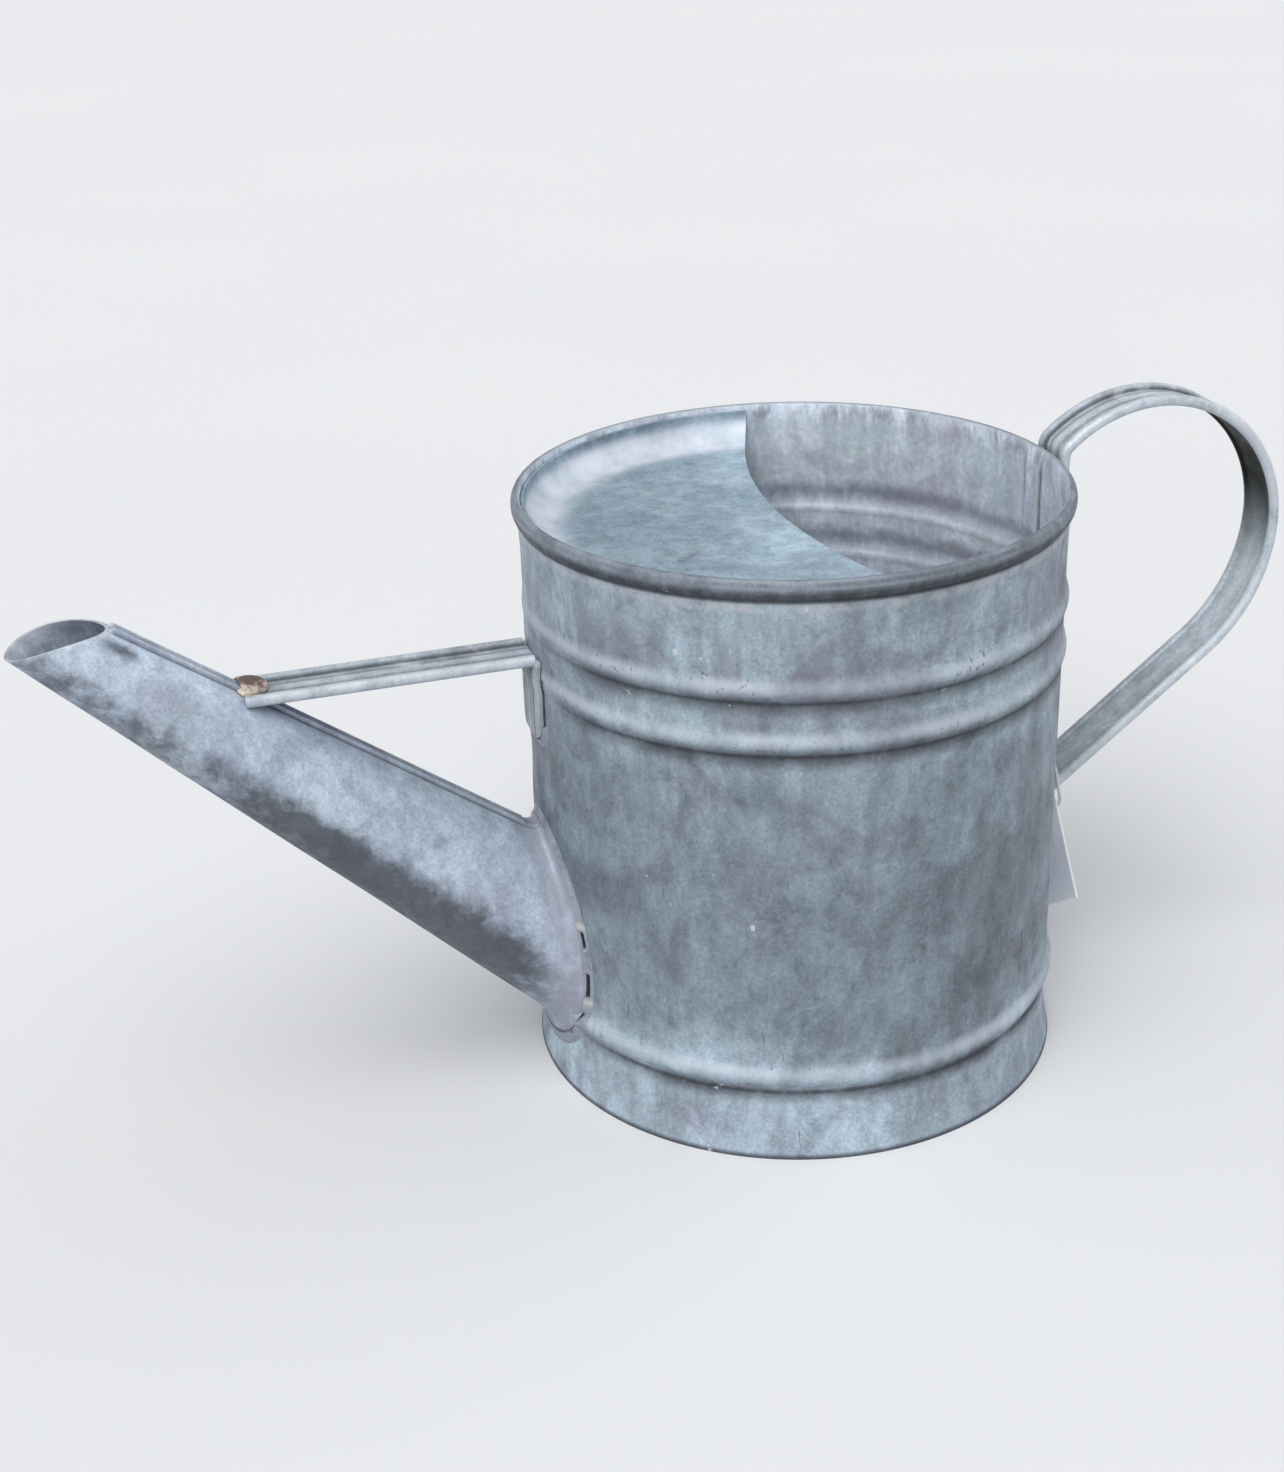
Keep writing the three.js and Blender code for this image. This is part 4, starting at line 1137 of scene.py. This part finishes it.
def build_handle():
    path = handle_path()
    verts, faces = joined(sweep(path, strap_section()), foot_mesh(*UPPER_FOOT, 1),
                          foot_mesh(*LOWER_FOOT, 1))
    handle = make_object("handle_strap", verts, faces, STRAP_SMOOTH)
    centres = np.array([tuple(p) for p, _ in path])
    outs = np.array([tuple(o) for _, o in path])

    def local(x, y, z):
        near = np.argmin((centres[:, 0] - x) ** 2 + (centres[:, 2] - z) ** 2)
        rel = np.array([x, 0, z]) - centres[near]
        return y, float(rel @ outs[near])

    # Painted shade on the upper inner face of the handle's bend
    def stain(x, y, z):
        across, out = local(x, y, z)
        if abs(across) > 6.3 or out > -0.4:
            return 0.0
        return smooth((z - 112) / 30) * smooth((x - 98) / 14)

    strap_attributes(handle, local, stain)
    return handle


handle = build_handle()
finished(handle, strap_zinc, "handle")


def foot_outline(bottom, top):
    """(y, z, dy, dz) down one side of a foot, round its end and up the other."""
    half, corner = FOOT_HALF_WIDTH, FOOT_CORNER
    line = [(half, z, 1.0, 0.0) for z in np.linspace(top, bottom + corner, 40)]
    for angle in np.linspace(0, -math.pi / 2, 24)[1:]:
        c, s = math.cos(angle), math.sin(angle)
        line.append((half - corner + corner * c, bottom + corner + corner * s, c, s))
    line += [(y, bottom, 0.0, -1.0) for y in np.linspace(half - corner, 0, 8)[1:]]
    return line + [(-y, z, -dy, dz) for y, z, dy, dz in reversed(line[:-1])]


def build_foot_solder(name, bottom, top, side, gap_span=None):
    """Solder round a foot, feathered on to the wall. gap_span is left open on the -Y side."""
    profile = ((0.28, 0.04), (0.28, 0.88), (0.7, 0.66), (1.2, 0.34), (1.8, 0.12),
               (SOLDER_WIDTH + GAP - 0.03, 0.03))
    rows = []
    for off, lift in profile:
        row = []
        for y, z, dy, dz in foot_outline(bottom, top):
            y, z = y + dy * off, z + dz * off
            angle = round_angle(y, side)
            level = lift * (1 - 0.92 * open_share(y, z, gap_span))
            row.append(round_point(wall_radius(z, angle) + level, angle, z))
        rows.append(row)
    verts, faces = grid(rows, close_rows=True)
    count, last = len(rows[0]), len(rows)
    faces.append([i * count for i in range(last)])
    faces.append([i * count + count - 1 for i in reversed(range(last))])
    bead_mesh = make_object(name, verts, faces, SOLDER_SMOOTH)
    set_attributes(bead_mesh, slot=lambda x, y, z: open_share(y, z, gap_span)
                   * (1 - smooth((abs(y) - FOOT_HALF_WIDTH - 0.6) / 0.6)))
    return bead_mesh


def open_share(y, z, span):
    """1 inside an open stretch on the -Y side, 0 elsewhere."""
    if span is None or y > 0:
        return 0.0
    return smooth((z - span[0]) / 0.8) * smooth((span[1] - z) / 0.8)


brace_gap = (BRACE_FOOT_BOTTOM + 4.5, BRACE_HEIGHT - 2.2)
brace_bead = build_foot_solder("brace_bead", BRACE_FOOT_BOTTOM, BRACE_HEIGHT - STRAP_EDGE - 1.5, -1,
                               brace_gap)
finished(brace_bead, solder, "brace_foot_solder")
for bead_name, (bottom, top), node in (("handle_top_bead", UPPER_FOOT, "handle_top_solder"),
                                       ("handle_foot_bead", LOWER_FOOT, "handle_foot_solder")):
    finished(build_foot_solder(bead_name, bottom, top - 1.5, 1), solder, node)


# -------------------------------------------------------- nodes kept from CAD

for node, material, slot in (("hood_solder", solder, "solder"),
                             ("brace_tip_solder", rusted, "rusted_solder"),
                             ("base_plate", base_zinc, "base_zinc"),
                             ("paper_tag", paper_material(), "tag_paper"),
                             ("tag_tie", tie_material(), "tie_plastic")):
    dress(nodes[node], material)


# --------------------------------------------------------------------- stage

FLOOR_HALF_M = 60.0


def build_stage():
    """Wide pale floor, a weak sky and four broad lights."""
    mesh = bpy.data.meshes.new("floor")
    corners = [(x * FLOOR_HALF_M, y * FLOOR_HALF_M, 0)
               for x, y in ((-1, -1), (1, -1), (1, 1), (-1, 1))]
    mesh.from_pydata(corners, [], [(0, 1, 2, 3)])
    floor = bpy.data.objects.new("floor", mesh)
    bpy.context.scene.collection.objects.link(floor)
    g = Graph("floor_pale", metallic=0.0, specular=0.1)
    tone = g.mix(linear(214, 215, 217), linear(217, 218, 219), g.noise(300, detail=1, seed=3))
    mesh.materials.append(g.finish(tone, 0.95))

    world = bpy.data.worlds.new("studio")
    bpy.context.scene.world = world
    world.use_nodes = True
    tree = world.node_tree
    background = tree.nodes["Background"]
    background.inputs[0].default_value = (0.93, 0.96, 1.0, 1)
    background.inputs[1].default_value = 0.34

    def sun(name, towards, power, spread, colour):
        light = bpy.data.lights.new(name, "SUN")
        light.energy = power
        light.angle = math.radians(spread)
        light.color = colour
        obj = bpy.data.objects.new(name, light)
        obj.rotation_euler = Vector(towards).to_track_quat("Z", "Y").to_euler()
        bpy.context.scene.collection.objects.link(obj)

    sun("key", (-0.35, -0.42, 0.84), 2.2, 50, (1.0, 0.99, 0.98))
    sun("fill", (-0.42, -0.78, 0.47), 0.55, 50, (0.98, 0.99, 1.0))
    sun("edge_left", (-0.85, 0.35, 0.55), 0.5, 60, (0.96, 0.98, 1.0))
    sun("edge_right", (0.85, 0.05, 0.50), 0.95, 60, (0.96, 0.98, 1.0))


def build_camera():
    """The photo's camera, as fitted to its outlines. Places are in metres."""
    data = bpy.data.cameras.new("camera")
    data.lens = 52.75
    data.sensor_width = 36
    data.clip_start = 0.01
    camera = bpy.data.objects.new("camera", data)
    right = Vector((0.9566, -0.2896, -0.0314))
    up = Vector((0.1503, 0.3985, 0.9048))
    forward = Vector((0.2496, 0.8703, -0.4247))
    turn = Matrix((right, up, -forward)).transposed().to_4x4()
    camera.matrix_world = Matrix.Translation((-0.1827, -0.4914, 0.3326)) @ turn
    bpy.context.scene.collection.objects.link(camera)
    bpy.context.scene.camera = camera


build_stage()
build_camera()
bpy.context.scene.view_settings.view_transform = "Standard"
